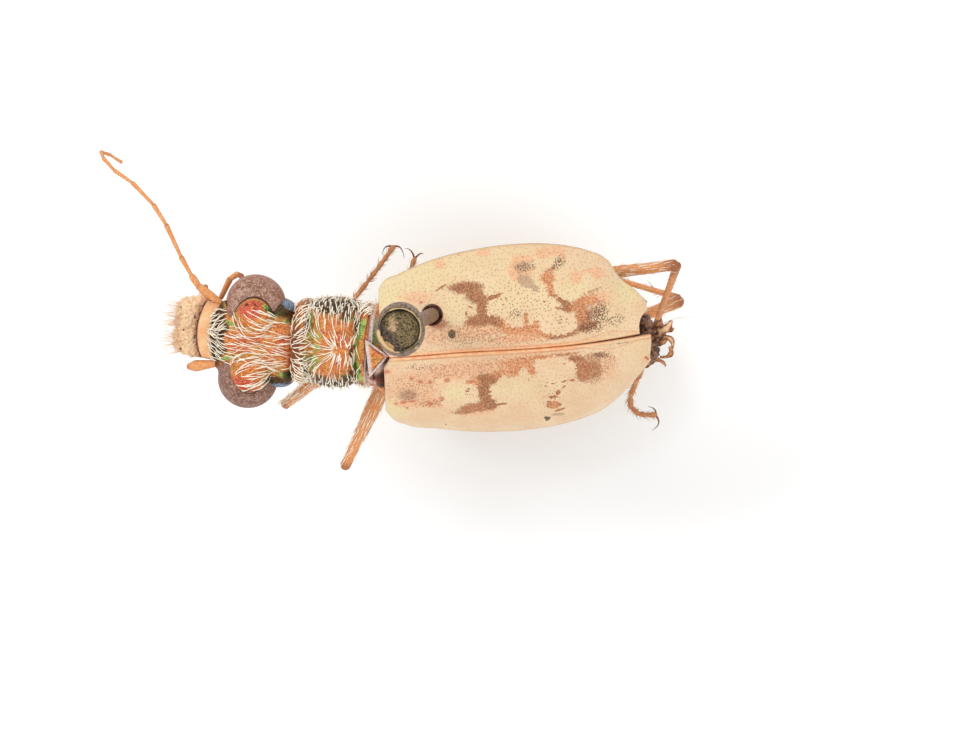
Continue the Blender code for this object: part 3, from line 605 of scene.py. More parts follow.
left_marks = {
    "stain": (
        (1.84, 1.37, 0.46, 0.12, 0, 1), (2.10, 1.32, 0.28, 0.16, 0, 1), (2.06, 1.00, 0.18, 0.34, 0, 1),
        (2.14, 0.70, 0.38, 0.15, 0, 0.95), (2.48, 0.62, 0.28, 0.13, -6, 0.95),
        (2.84, 0.56, 0.24, 0.18, 0, 0.95), (3.17, 0.55, 0.14, 0.26, 14, 0.95),
        (3.35, 0.32, 0.34, 0.08, 0, 0.85), (1.7, 0.42, 1.5, 0.24, 0, 0.40),
        (0.45, 0.78, 0.75, 0.48, 0, 0.38), (0.90, 1.15, 0.55, 0.14, -6, 0.50),
        (2.9, 0.38, 0.60, 0.15, 0, 0.72), (3.80, 0.30, 0.60, 0.05, 0, 0.7), (4.34, 0.72, 0.22, 0.32, 0, 1),
        (4.54, 0.74, 0.26, 0.36, 0, 0.74), (4.22, 0.44, 0.26, 0.10, 12, 0.9),
        (4.85, 0.62, 0.30, 0.30, 0, 0.42), (4.6, 0.42, 0.35, 0.10, 0, 0.65),
        (1.70, 0.90, 0.06, 0.04, 0, 0.9), (1.55, 1.46, 0.30, 0.07, 0, 0.8),
        (0.35, 0.92, 0.22, 0.16, 0, 0.55), (2.9, 0.22, 1.0, 0.06, 0, 0.4),
    ),
    "sharp": (
        (2.36, 1.34, 0.17, 0.03, -4, 0.95), (3.84, 1.07, 0.10, 0.018, -40, 0.95),
        (3.70, 1.19, 0.05, 0.08, 40, 0.95), (3.58, 1.29, 0.12, 0.05, 0, 0.85),
        (3.56, 1.49, 0.15, 0.10, 0, 1.1), (3.68, 1.64, 0.13, 0.03, -15, 0.95),
        (4.06, 0.93, 0.07, 0.03, 0, 0.9), (3.88, 0.93, 0.10, 0.02, -15, 0.85),
        (3.62, 0.96, 0.10, 0.014, 10, 0.8), (3.43, 1.00, 0.05, 0.02, 0, 0.85),
        (1.66, 0.94, 0.06, 0.022, 20, 0.9), (1.66, 1.02, 0.03, 0.02, 0, 0.8),
        (3.08, 0.80, 0.014, 0.08, 15, 0.85), (2.93, 0.86, 0.03, 0.016, 0, 0.7),
        (3.92, 0.51, 0.04, 0.02, 0, 0.8), (1.73, 0.73, 0.10, 0.05, 0, 0.8),
        (1.90, 0.78, 0.09, 0.05, 30, 0.8), (5.75, 0.70, 0.09, 0.03, 60, 0.7),
        (5.05, 0.52, 0.025, 0.03, 0, 0.8), (1.06, 1.77, 0.03, 0.02, 20, 0.8),
        (3.45, 1.40, 0.06, 0.03, 10, 0.8),
    ),
    "grey": (
        (3.62, 1.76, 0.16, 0.04, 5, 0.9), (0.32, 0.92, 0.26, 0.18, 0, 0.7),
        (4.75, 0.42, 0.16, 0.10, 0, 0.6), (2.12, 0.62, 0.16, 0.08, 0, 0.7),
    ),
    "pink": (
        (0.50, 0.75, 0.85, 0.60, 0, 0.62), (0.25, 1.12, 0.34, 0.10, 0, 1),
        (0.80, 1.14, 0.40, 0.16, 8, 0.95), (1.6, 0.42, 1.2, 0.26, 0, 0.8), (2.9, 0.36, 0.8, 0.16, 0, 0.9),
        (3.80, 0.30, 0.60, 0.05, 0, 0.8), (4.80, 0.72, 0.36, 0.36, 0, 0.7),
        (5.74, 0.70, 0.12, 0.10, 0, 0.9), (-0.1, 0.32, 0.14, 0.08, 0, 1), (1.9, 1.52, 0.55, 0.08, 0, 0.8),
        (1.25, 1.1, 0.3, 0.3, 0, 0.4),
    ),
    "orange": (
        (0.45, 0.52, 0.06, 0.04, 0, 1), (0.64, 0.61, 0.07, 0.045, 0, 1), (0.86, 0.64, 0.045, 0.06, 0, 1),
        (1.25, 0.63, 0.07, 0.055, 0, 1.1), (0.79, 1.17, 0.07, 0.05, 0, 1.1),
        (0.19, 1.09, 0.09, 0.045, 0, 1), (0.40, 1.08, 0.10, 0.03, 0, 1), (0.01, 1.12, 0.05, 0.04, 0, 0.9),
        (0.25, 1.24, 0.045, 0.035, 0, 0.9), (-0.1, 0.32, 0.10, 0.05, 0, 0.8),
        (1.08, 1.06, 0.08, 0.05, 40, 0.8), (3.08, 0.36, 0.06, 0.05, 0, 0.8),
        (1.80, 0.72, 0.06, 0.05, 0, 0.9),
    ),
    "rust": (
        (3.0, 0.50, 0.75, 0.38, 0, 1), (1.75, 1.38, 0.40, 0.14, 0, 0.5), (1.82, 0.74, 0.18, 0.12, 0, 1),
        (4.35, 0.75, 0.3, 0.4, 0, 0.45), (3.56, 1.49, 0.2, 0.2, 0, 0.6),
    ),
    "dark": (
        (4.80, 0.42, 0.30, 0.14, 0, 0.6), (0.32, 0.92, 0.30, 0.20, 0, 0.28),
        (1.02, 0.58, 0.16, 0.10, 0, 0.4), (0.75, 0.26, 0.65, 0.12, 0, 0.5), (3.1, 0.28, 0.5, 0.04, 0, 0.5),
        (5.2, 0.22, 0.3, 0.03, 0, 0.7),
    ),
    "freckle": (
        (1.74, 0.98, 0.16, 0.12, 0, 1), (3.6, 0.95, 0.30, 0.10, 0, 0.9), (3.5, 1.3, 0.2, 0.2, 0, 0.9),
    ),
    "yellow": (
        (-0.05, 1.25, 0.28, 0.26, 0, 1), (1.4, 0.95, 0.3, 0.2, 0, 0.7), (0.4, 0.08, 0.6, 0.05, 0, 0.6),
        (2.8, 0.95, 0.7, 0.35, 0, 0.35), (5.5, 0.4, 0.3, 0.3, 0, 0.3),
    ),
    "spot": ((3.37, 1.86, 0.075, 0.035, -40, 1), (3.34, 1.82, 0.04, 0.04, 0, 1)),
}
# Clear cream islands in the stains, each a closed outline: distance along the cover and out from the seam
islands = {
    "right": (
        [
            (1.28, 1.38), (1.24, 1.20), (1.27, 1.00), (1.31, 0.82), (1.40, 0.70), (1.52, 0.62), (1.64, 0.60),
            (1.73, 0.61), (1.76, 0.68), (1.84, 0.74), (1.90, 0.80), (1.99, 0.78), (2.06, 0.82), (2.04, 0.90),
            (2.09, 0.98), (2.02, 1.02), (1.93, 1.02), (1.88, 1.08), (1.78, 1.10), (1.72, 1.20), (1.62, 1.27),
            (1.55, 1.33), (1.46, 1.42),
        ],
        [
            (2.36, 1.55), (2.30, 1.38), (2.26, 1.30), (2.29, 1.21), (2.45, 1.21), (2.55, 1.22), (2.44, 1.07),
            (2.34, 1.00), (2.28, 0.92), (2.30, 0.82), (2.36, 0.76), (2.46, 0.74), (2.55, 0.71), (2.60, 0.64),
            (2.70, 0.60), (2.72, 0.53), (2.79, 0.50), (2.82, 0.43), (2.98, 0.42), (3.10, 0.42), (3.12, 0.54),
            (3.11, 0.72), (3.17, 0.76), (3.22, 0.70), (3.24, 0.50), (3.32, 0.48), (3.38, 0.54), (3.45, 0.55),
            (3.44, 0.44), (3.49, 0.36), (3.53, 0.26), (3.64, 0.20), (3.78, 0.15), (3.98, 0.14), (4.12, 0.17),
            (4.22, 0.22), (4.28, 0.32), (4.28, 0.46), (4.27, 0.60), (4.16, 0.60), (4.06, 0.66), (3.92, 0.72),
            (3.84, 0.78), (3.96, 0.81), (3.97, 0.86), (3.88, 0.95), (3.80, 1.01), (3.68, 1.02), (3.72, 1.10),
            (3.67, 1.24), (3.56, 1.31), (3.50, 1.14), (3.35, 1.20), (3.20, 1.26), (3.05, 1.36), (2.92, 1.46),
            (2.84, 1.62), (2.6, 1.60),
        ],
        [
            (3.92, 1.55), (3.90, 1.30), (3.86, 1.12), (3.95, 1.00), (4.05, 0.93), (4.18, 0.88), (4.27, 0.84),
            (4.34, 0.90), (4.44, 0.94), (4.52, 0.98), (4.62, 1.10), (4.90, 1.10), (4.90, 1.20), (4.60, 1.25),
            (4.3, 1.18), (4.15, 1.35), (4.1, 1.55),
        ],
    ),
    "left": (
        [
            (1.10, 1.02), (1.13, 0.92), (1.22, 0.82), (1.32, 0.76), (1.45, 0.74), (1.58, 0.75), (1.66, 0.82),
            (1.72, 0.90), (1.80, 0.88), (1.90, 0.90), (1.93, 0.98), (1.90, 1.08), (1.86, 1.16), (1.78, 1.19),
            (1.66, 1.19), (1.60, 1.25), (1.48, 1.28), (1.38, 1.36), (1.26, 1.38), (1.14, 1.30), (1.05, 1.20),
        ],
        [
            (2.20, 0.92), (2.30, 0.86), (2.34, 0.78), (2.42, 0.76), (2.46, 0.66), (2.54, 0.60), (2.62, 0.62),
            (2.64, 0.72), (2.70, 0.78), (2.76, 0.74), (2.84, 0.67), (2.90, 0.60), (2.96, 0.52), (3.06, 0.50),
            (3.08, 0.58), (3.12, 0.67), (3.18, 0.77), (3.26, 0.77), (3.30, 0.67), (3.24, 0.58), (3.24, 0.46),
            (3.28, 0.38), (3.40, 0.33), (3.60, 0.32), (3.80, 0.34), (3.93, 0.38), (3.98, 0.46), (4.10, 0.50),
            (4.18, 0.56), (4.16, 0.64), (4.18, 0.74), (4.12, 0.82), (4.02, 0.90), (4.08, 0.98), (4.20, 1.01),
            (4.32, 1.05), (4.44, 1.12), (4.56, 1.20), (4.40, 1.50), (2.9, 1.75), (2.15, 1.56), (2.25, 1.48),
            (2.34, 1.40), (2.24, 1.27), (2.32, 1.20), (2.20, 1.12), (2.14, 1.05), (2.22, 1.00), (2.15, 0.96),
        ],
    ),
}

cream_shell, paint = start_finish("cream_elytron")
lie = paint.painted("lie", "Vector")
fine = paint.speckle(0.026, 3)
clumps = paint.speckle(0.11, 2)
lobes = paint.node(
    "TexVoronoi", {"voronoi_dimensions": "2D", "feature": "SMOOTH_F1"},
    {"Vector": lie, "Scale": 14.0, "Smoothness": 0.2},
)
cells, dots, grains = (
    paint.node(
        "TexVoronoi", {"voronoi_dimensions": "2D"},
        {"Vector": lie, "Scale": scale, "Randomness": spread},
    )
    for scale, spread in ((11.5, 0.85), (17.0, 1.0), (21.0, 1.0))
)
ragged = 0.7 * lobes + 0.8 * fine + 0.5 * clumps - 0.98
clear = (paint.painted("island") + 0.17 * ragged).step(-0.006, 0.008)
stain = paint.painted("stain") * (1 - clear)
wash = (stain + 0.5 * fine + 0.3 * clumps - 0.40).step(0.36, 0.84)
wash = wash.maths("MAXIMUM", wash, (paint.painted("sharp") + 0.6 * ragged).step(0.42, 0.54))
stipple = dots.step(0.42, 0.22) * (stain + 0.6 * clumps - 0.30).step(0.16, 0.46)
pink = (paint.painted("pink") * (1 - 0.8 * clear) + 0.5 * clumps - 0.25).step(0.2, 0.9)
grey = (paint.painted("grey") + 0.7 * fine - 0.35).step(0.30, 0.66) * (1 - 0.9 * clear)
orange = (paint.painted("orange") + 0.6 * fine - 0.30).step(0.2, 0.9)
rust = paint.painted("rust").step(0.25, 0.85)
dark = paint.painted("dark")
pore = cells.step(0.20, 0.08)
dark_pore = grains.step(0.40, 0.24) * (dark + 1.1 * clumps - 0.4).step(0.50, 0.74)
ground = paint.speckle(0.5, 3).step(0.35, 0.7).mix(colour(244, 206, 164), colour(249, 217, 176))
ground = (paint.painted("yellow") * 0.9).mix(ground, colour(246, 226, 172))
ground = (pink * 0.62).mix(ground, colour(240, 176, 134, 1.12))
ground = (pink * grains.step(0.40, 0.2) * 0.24).mix(ground, colour(196, 128, 92))
ground = (grey * 0.7).mix(ground, colour(186, 148, 118))
grained = fine.step(0.36, 0.64)
brown_wash = grained.mix(colour(142, 78, 38), colour(208, 138, 88))
rust_wash = grained.mix(colour(204, 124, 74), colour(244, 178, 126, 1.15))
ground = (wash * 0.95).mix(ground, rust.mix(brown_wash, rust_wash))
ground = (stipple * (0.42 + 0.34 * stain)).mix(ground, rust.mix(colour(146, 92, 60), colour(190, 110, 68)))
ground = (orange * 0.8).mix(ground, colour(208, 112, 74))
ground = (0.24 * fine.step(0.48, 0.62)).mix(ground, colour(220, 176, 134))
ground = (pore * (0.10 + 0.75 * paint.painted("freckle"))).mix(ground, colour(126, 90, 60))
ground = (dark_pore * (0.25 + 0.7 * dark)).mix(ground, colour(82, 62, 48))
seam = clumps.step(0.4, 0.6).mix(colour(246, 168, 114, 1.1), colour(252, 196, 146, 1.1))
ground = (paint.painted("seam") * 0.9).mix(ground, seam)
ground = paint.painted("seam_line").mix(ground, colour(216, 124, 76))
ground = paint.painted("lip").mix(ground, colour(206, 164, 148))
# Painted shade: a thin darker tan line along the outer edge, where the cover turns down
ground = paint.painted("rim").mix(ground, colour(220, 176, 124))
spot = (paint.painted("spot") + 0.4 * fine + 1.2 * clumps - 0.8).step(0.40, 0.56)
ground = spot.mix(ground, fine.step(0.42, 0.58).mix(colour(66, 48, 30), colour(150, 124, 84)))
ground = paint.painted("torn").step(0.35, 0.65).mix(ground, colour(88, 38, 18))
ground = paint.painted("inside").mix(ground, colour(150, 108, 70))
surface(cream_shell, {
    "Base Color": ground,
    "Roughness": 0.46 + 0.12 * wash - 0.1 * pore,
    "Normal": paint.bump(1 - (0.8 * pore + 0.4 * dark_pore) + 0.10 * fine, 0.010),
    "Specular IOR Level": 0.40,
    "Subsurface Weight": 0.12,
    "Subsurface Radius": (1.0, 0.6, 0.35),
    "Subsurface Scale": 0.15 * MM,
})

TEAR_RADIUS = 0.205
pin_local = hind_body.inverted() @ Vector((0, 0, 8.55))
pin_axis = (hind_body.inverted().to_3x3() @ Vector((0, 0, 1))).normalized()
hole_turns = np.linspace(0, 2 * math.pi, 40, endpoint=False)
hole_side = pin_axis.cross(Vector((0, 1, 0))).normalized()
hole_rings = [
    [
        pin_local + pin_axis * height
        + (hole_side * math.cos(turn) + pin_axis.cross(hole_side) * math.sin(turn))
        * (TEAR_RADIUS + 0.012 * math.sin(5 * turn) + 0.008 * math.sin(11 * turn + 1))
        for turn in hole_turns
    ]
    for height in (-1.2, 1.0)
]
for word, side, cover_marks, length, tip_recess, lead in (
    ("right", 1, right_marks, 5.87, 0.21, 0.0), ("left", -1, left_marks, 5.82, -0.08, 0.17),
):
    outline = elytron_outlines[word]
    piece = elytron_shell("elytron_shell_" + word, side, outline, length, tip_recess, lead)
    if word == "right":
        drilled(piece, shape("hole", *ringed(hole_rings)), crossing=True)
    at = points_of(piece)
    along, out = at[:, 0], at[:, 1] * side
    width = through(along, outline, 1)
    from_seam = out - side * seam_at(along) - seam_gap(along)
    for name, marks in cover_marks.items():
        carry(piece, name, blots(along, out, marks))
    carry(piece, "island", np.max([depth_in(along, out, shore) for shore in islands[word]], axis=0))
    blush = 0.075 if side < 0 else 0.06
    fade = np.clip((5.0 - along) / 1.2, 0, 1) * np.clip((along + 0.1) / 0.4, 0, 1)
    carry(piece, "seam", np.clip(1.9 - 1.4 * from_seam / blush, 0, 1) * (0.25 + 0.75 * fade))
    apart = 0.10 * np.clip((along - 4.4) / 0.5, 0, 1) * np.clip((5.6 - along) / 0.5, 0, 1)
    lines = 0.9 * np.exp(-((from_seam - 0.004) / 0.012) ** 2)
    lines += 0.8 * np.exp(-((from_seam - blush - apart - 0.012) / 0.011) ** 2)
    carry(piece, "seam_line", np.clip(lines, 0, 1) * (0.6 + 0.4 * fade) * (along > 0))
    lip_x = 0.02 - 0.15 * np.clip(out / 0.26, 0, 1) - lead * out / 1.5
    lip = np.clip(1.5 - (along - lip_x) / 0.035, 0, 1) * np.clip(1.5 - out / 0.6, 0, 1)
    carry(piece, "lip", 0.85 * lip)
    # A thin line of painted shade at the outer edge of each cover
    carry(piece, "rim", 0.6 * np.exp(-((out / width - 0.992) / 0.008) ** 2))
    from_pin = np.array([(Vector(point) - pin_local).cross(pin_axis).length for point in at])
    torn = np.clip(1.4 - (from_pin - TEAR_RADIUS) / 0.05, 0, 1)
    carry(piece, "torn", torn * (from_pin < 0.6) * (word == "right"))
    carry(piece, "inside", (normals_of(piece)[:, 2] < -0.05) * 1.0)
    carry(piece, "lie", np.stack((along, out + 3 * side, 0 * out), -1))
    settle(piece, cream_shell, hind_body)
    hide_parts("elytron_" + word)


# Head.
# One capsule of coppery chitin, grained like hammered metal, with an orbit beside each eye and a neck behind
# them. Its colour comes from its thin layers, so it runs from red over copper to green and blue. Painted
# highlights fleck its grain, and painted shadow lies in streaks between its hairs.
head_axes = section((-4.16, -0.63, 8.00), -5.9)


def lofted(name, table, sides=90, step=0.03, square=2.4, cap=0.12):
    """A smooth body through cross sections: distance along, middle, half width, top and bottom."""
    first, last = table[0][0], table[-1][0]
    xs = np.linspace(first, last, int((last - first) / step) + 2)
    nearest = np.minimum(xs - first, last - xs) + 0.004
    closing = np.sqrt(1 - (1 - np.clip(nearest / cap, 0, 1)) ** 2)
    turns = np.linspace(0, 2 * math.pi, sides, endpoint=False)
    round_y = np.sign(np.cos(turns)) * np.abs(np.cos(turns)) ** (2 / square)
    round_z = np.sign(np.sin(turns)) * np.abs(np.sin(turns)) ** (2 / square)
    rings = []
    for x, close in zip(xs, closing):
        middle, half, top, bottom = (float(through(np.array([x]), table, k)[0]) for k in (1, 2, 3, 4))
        rings.append(np.stack((
            np.full(sides, x),
            middle + half * close * round_y,
            (top + bottom) / 2 + (top - bottom) / 2 * close * round_z,
        ), -1))
    return shape(name, *ringed(rings))


def ball(name, middle, radii, rings=48):
    """A ball stretched to three half axes."""
    work = bmesh.new()
    bmesh.ops.create_uvsphere(
        work, u_segments=2 * rings, v_segments=rings, radius=1.0,
        matrix=Matrix.Translation(middle) @ Matrix.Diagonal((*radii, 1.0)),
    )
    mesh = bpy.data.meshes.new(name)
    work.to_mesh(mesh)
    work.free()
    return linked(name, mesh)


def fused(name, parts, grain, rounds):
    """Closed parts melted into one skin without seams."""
    work = bmesh.new()
    for part in parts:
        work.from_mesh(part.data)
        bpy.data.objects.remove(part)
    mesh = bpy.data.meshes.new(name)
    work.to_mesh(mesh)
    work.free()
    piece = linked(name, mesh)
    melt = piece.modifiers.new("melt", "REMESH")
    melt.mode = "VOXEL"
    melt.voxel_size = grain
    ease = piece.modifiers.new("ease", "SMOOTH")
    ease.factor = 0.5
    ease.iterations = rounds
    return applied(piece)


def reshape(piece, points):
    """Moves the points of a mesh to new places."""
    piece.data.vertices.foreach_set("co", np.asarray(points, np.float32).ravel())
    piece.data.update()


def cover_of(*pieces):
    """The skins of some pieces, for rays to find the roots of hairs on."""
    corners, faces = [], []
    for piece in pieces:
        faces += [[corner + len(corners) for corner in face.vertices] for face in piece.data.polygons]
        corners += [vertex.co.copy() for vertex in piece.data.vertices]
    return BVHTree.FromPolygons(corners, faces)


skull_table = (
    (-0.90, 0.10, 0.50, 0.00, -0.30), (-0.78, 0.09, 0.62, 0.13, -0.62), (-0.55, 0.05, 0.70, 0.26, -0.86),
    (-0.05, 0.00, 0.78, 0.38, -0.98), (0.35, 0.00, 0.84, 0.40, -1.00), (0.62, 0.00, 0.86, 0.36, -0.95),
    (0.86, 0.00, 0.80, 0.28, -0.80), (1.05, 0.00, 0.74, 0.20, -0.70),
)
head_parts = [lofted("skull", skull_table, cap=0.2), ball("face", (-0.72, 0.10, -0.06), (0.28, 0.66, 0.17))]
for side in (1, -1):
    head_parts.append(ball("orbit", (0.02, side * 0.62 - 0.02, 0.10), (0.46, 0.57, 0.45)))
    head_parts.append(ball("temple", (0.62 - 0.04 * side, side * 0.74, -0.22), (0.38, 0.29, 0.42)))
    head_parts.append(ball("antenna_socket", (-0.66, side * 0.66 + 0.05, -0.12), (0.16, 0.16, 0.16)))
head_skin = fused("head_capsule", head_parts, 0.02, 7)
at = points_of(head_skin)
x, y, z = at.T
top = np.clip((z - 0.05) / 0.2, 0, 1)
z = z - 0.035 * np.exp(-(y / 0.10) ** 2) * np.exp(-((x - 0.1) / 0.5) ** 2) * top
z = z - 0.03 * np.exp(-((np.abs(y - 0.03) - 0.38) / 0.07) ** 2) * np.clip((0.3 - x) / 0.5, 0, 1) * top
reshape(head_skin, np.stack((x, y, z), -1))
head_marks = {
    "red": (
        (-0.05, 0.90, 0.28, 0.24, 0, 1.25), (-0.10, 0.74, 0.14, 0.10, 0, 0.9),
        (0.12, 0.80, 0.14, 0.10, -30, 0.8), (-0.10, -0.98, 0.34, 0.24, -8, 1.25),
        (0.15, -0.72, 0.16, 0.06, 40, 0.7), (-0.15, 0.12, 0.5, 0.12, 5, 0.6),
        (0.70, 0.16, 0.16, 0.10, 40, 0.8), (0.66, -0.10, 0.25, 0.10, 0, 0.7),
        (-0.3, -0.1, 0.35, 0.12, 0, 0.6), (-0.02, -0.48, 0.3, 0.06, 30, 0.55),
    ),
    "gold": (
        (-0.44, 0.35, 0.14, 0.10, 0, 1), (-0.14, 0.40, 0.22, 0.08, -10, 0.8),
        (-0.30, -0.34, 0.24, 0.10, 10, 1), (0.05, -0.24, 0.40, 0.07, 4, 0.7),
        (0.66, 0.66, 0.20, 0.14, 0, 0.9), (0.56, -0.56, 0.24, 0.14, 20, 0.9),
        (0.20, 0.02, 0.16, 0.10, 0, 0.6), (-0.35, 0.62, 0.12, 0.06, -40, 0.8),
        (-0.33, -0.58, 0.14, 0.06, 40, 0.8),
    ),
    "green": (
        (-0.52, 0.42, 0.12, 0.04, -20, 1.1), (-0.40, 0.38, 0.08, 0.03, -20, 1),
        (-0.56, -0.42, 0.12, 0.045, 20, 1.2), (-0.46, -0.34, 0.10, 0.03, 10, 0.9),
        (0.58, 0.76, 0.12, 0.035, 25, 1.3), (0.50, -0.84, 0.16, 0.05, -20, 0.9),
        (0.38, 0.82, 0.20, 0.05, -40, 1.1), (-0.30, 1.00, 0.14, 0.03, 35, 1.0),
        (-0.34, -1.04, 0.2, 0.03, -35, 1.0), (0.82, -0.66, 0.16, 0.09, 0, 0.8),
        (0.80, 0.60, 0.12, 0.06, 0, 0.7),
    ),
    "dark": (
        (-0.80, 0.10, 0.17, 0.74, 0, 1.4), (-0.62, 0.30, 0.09, 0.10, 0, 1.2),
        (-0.62, -0.22, 0.10, 0.10, 0, 0.9), (0.68, 0.84, 0.24, 0.16, -10, 1.2),
        (0.72, -0.88, 0.28, 0.16, -10, 1.2), (0.64, -0.76, 0.20, 0.08, 0, 0.8),
        (0.45, 0.80, 0.14, 0.05, -35, 0.9), (-0.05, 1.12, 0.36, 0.04, 0, 1.1),
        (0.0, -1.20, 0.3, 0.04, 0, 1.1), (-0.14, 0.93, 0.05, 0.03, 20, 0.9),
        (0.06, 0.95, 0.07, 0.02, -30, 0.8), (0.02, -1.06, 0.08, 0.03, 20, 0.9),
        (0.10, -0.98, 0.05, 0.025, -20, 0.8), (0.92, 0.66, 0.14, 0.14, 0, 0.9),
        (0.92, -0.72, 0.16, 0.2, 0, 0.9),
    ),
    "blue": (
        (0.78, 0.94, 0.18, 0.08, -34, 1.2), (0.64, 1.02, 0.16, 0.07, -26, 1.1),
        (0.74, -0.98, 0.26, 0.11, 0, 1.2), (0.92, -0.84, 0.16, 0.05, 0, 0.5),
    ),
}
copper_layers = ("red", "gold", "green", "dark", "blue", "pale")


def painted_with(piece, marks, lines=()):
    """Stores how strongly each of a set of coloured marks and lines shows at each point, seen from above."""
    at = points_of(piece)
    facing = normals_of(piece)[:, 2]
    up = np.clip(facing * 2 + 0.7, 0, 1)
    shown = {name: blots(at[:, 0], at[:, 1], marks.get(name, ())) * up for name in copper_layers}
    for name, line in lines:
        shown[name] = np.maximum(shown[name], line)
    for name, depth in shown.items():
        carry(piece, name, depth)
    carry(piece, "below", np.clip(-facing * 1.6 + 0.1, 0, 1))


EYE_RADII = (0.68, 0.66, 0.56)


def eye_middle(side, lean=0.0):
    """The middle of an eye, a little further back where lean is above 0."""
    return lean, side * 0.89 - 0.04, -0.22


at = points_of(head_skin)
rim_lines = []
for side in (1, -1):
    beside = at[:, 1] * side > 0
    from_eye = np.linalg.norm((at - eye_middle(side)) / EYE_RADII, axis=1) - 1
    rim_lines.append(("dark", 1.2 * beside * np.exp(-((from_eye - 0.02) / 0.045) ** 2)))
    rim_lines.append(("green", 0.6 * beside * np.exp(-((from_eye - 0.09) / 0.025) ** 2)))
painted_with(head_skin, head_marks, rim_lines)

copper_chitin, paint = start_finish("copper_chitin")
grain = paint.speckle(0.030, 2)
patch = paint.speckle(0.16, 3)
grains = paint.cells(0.055)
# Painted shadow: dark streaks stretched along the hairs' direction, for the shade between the hairs
shadow_streak_place = paint.node("Mapping", (), {"Vector": paint.place(), "Scale": (9000, 20000, 12000)})
hair_shadow_streaks = paint.node("TexNoise", (), {"Vector": shadow_streak_place, "Scale": 1.0, "Detail": 2.0})
ground = patch.step(0.35, 0.68).mix(colour(238, 134, 66), colour(246, 170, 100))
gold = (paint.painted("gold") + 0.8 * patch - 0.4).step(0.2, 0.9)
ground = (0.75 * gold).mix(ground, colour(206, 160, 70))
red = (paint.painted("red") + 1.2 * patch - 0.6).step(0.2, 0.9)
ground = (0.85 * red).mix(ground, colour(228, 88, 74))
# Painted shadow between the hairs, as dark red-brown streaks
ground = (0.35 * (hair_shadow_streaks + 0.3 * grain).step(0.72, 0.56)).mix(ground, colour(142, 62, 38))
# Painted highlights: light yellow flecks over the grain
ground = (0.55 * paint.speckle(0.06, 3).step(0.56, 0.70)).mix(ground, colour(255, 196, 118))
ground = (0.75 * (grain + 0.25 * patch).step(0.60, 0.40)).mix(ground, colour(120, 54, 28))
# Painted highlight: a pale dot on the top of each raised grain
ground = (0.7 * grains.step(0.40, 0.10) * grain.step(0.4, 0.6)).mix(ground, colour(255, 208, 156))
shine = (0.6 * grain + 0.5 * patch).step(0.42, 0.60).mix(colour(38, 84, 44), colour(176, 204, 104))
ground = (paint.painted("green") + 1.2 * grain - 0.6).step(0.2, 0.8).mix(ground, shine)
# The dark layer: black and dark green chitin in some marks, and painted shadow between the hairs in others
shade = grain.step(0.42, 0.66).mix(colour(14, 18, 14), colour(84, 66, 40))
ground = (0.92 * (paint.painted("dark") + 1.2 * grain - 0.6).step(0.15, 0.85)).mix(ground, shade)
steel = grain.step(0.35, 0.65).mix(colour(76, 98, 106), colour(158, 174, 200))
ground = (0.9 * (paint.painted("blue") + 0.5 * patch - 0.25).step(0.3, 0.8)).mix(ground, steel)
frost = grain.step(0.3, 0.7).mix(colour(212, 180, 170), colour(255, 238, 230))
ground = (0.9 * paint.painted("pale")).mix(ground, frost)
ground = paint.painted("below").mix(ground, colour(70, 84, 62))
surface(copper_chitin, {
    "Base Color": ground,
    "Metallic": 0.35,
    "Roughness": 0.34 + 0.22 * grain,
    "Normal": paint.bump(grain + 0.8 * grains, 0.016),
    "Specular IOR Level": 0.25,
})
head_cover = cover_of(head_skin)
settle(head_skin, copper_chitin, head_axes)
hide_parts("head")


# Eyes.
# Two big compound eyes of thousands of lenses, dull grey-brown and mottled now that they are dry. The
# head's orbits overlap them from above, so they show as crescents.
dry_eye, paint = start_finish("dry_compound_eye")
mottle = 0.5 * paint.speckle(0.085, 3) + 0.52 * paint.speckle(0.035, 2)
lenses = paint.cells(0.03, 0.5)
ground = mottle.step(0.45, 0.60).mix(colour(136, 88, 66), colour(206, 162, 142))
ground = (0.5 * paint.speckle(0.35, 2).step(0.42, 0.7)).mix(ground, colour(184, 148, 132))
ground = (0.5 * paint.painted("rim")).mix(ground, colour(158, 94, 66))
browned = mottle.step(0.44, 0.6).mix(colour(104, 68, 52), colour(158, 120, 104))
# The whole left eye is painted browner than the right
ground = (0.60 * paint.painted("pin_wear_and_left_eye_brown")).mix(ground, browned)
surface(dry_eye, {
    "Base Color": ground,
    "Roughness": 0.42 + 0.12 * mottle,
    "Normal": paint.bump(lenses + 0.6 * mottle, 0.006),
    "Specular IOR Level": 0.35,
})
for word, side, lean in (("right", 1, 0.0), ("left", -1, -0.05)):
    globe = ball("globe", eye_middle(side, lean), EYE_RADII, 64)
    horn = ball("horn", (lean - 0.36, side * 0.68 - 0.02, -0.15), (0.34, 0.26, 0.37), 32)
    eye = fused("compound_eye_" + word, (globe, horn), 0.018, 5)
    at = points_of(eye)
    carry(eye, "rim", np.clip((np.hypot(at[:, 0] - lean, at[:, 1] - side * 0.88) / 0.65 - 0.8) / 0.2, 0, 1))
    # The left eye is painted browner than the right
    carry(eye, "pin_wear_and_left_eye_brown", np.full(len(at), 0.0 if side > 0 else 1.0))
    settle(eye, dry_eye, head_axes)
    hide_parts("eye_" + word)


# Labrum.
# The upper lip, one ivory plate as wide as the face. Its bowed front edge has small blunt teeth and is
# painted dark, as dark teeth and as painted shadow of the gap under it.
LIP_MIDDLE = 0.11
LIP_HALF_WIDTH = 0.67


def lip_edge(out):
    """Where the lip's bowed front edge lies along the head, for out from -1 to 1 across it."""
    return -1.31 + 0.15 * out**2


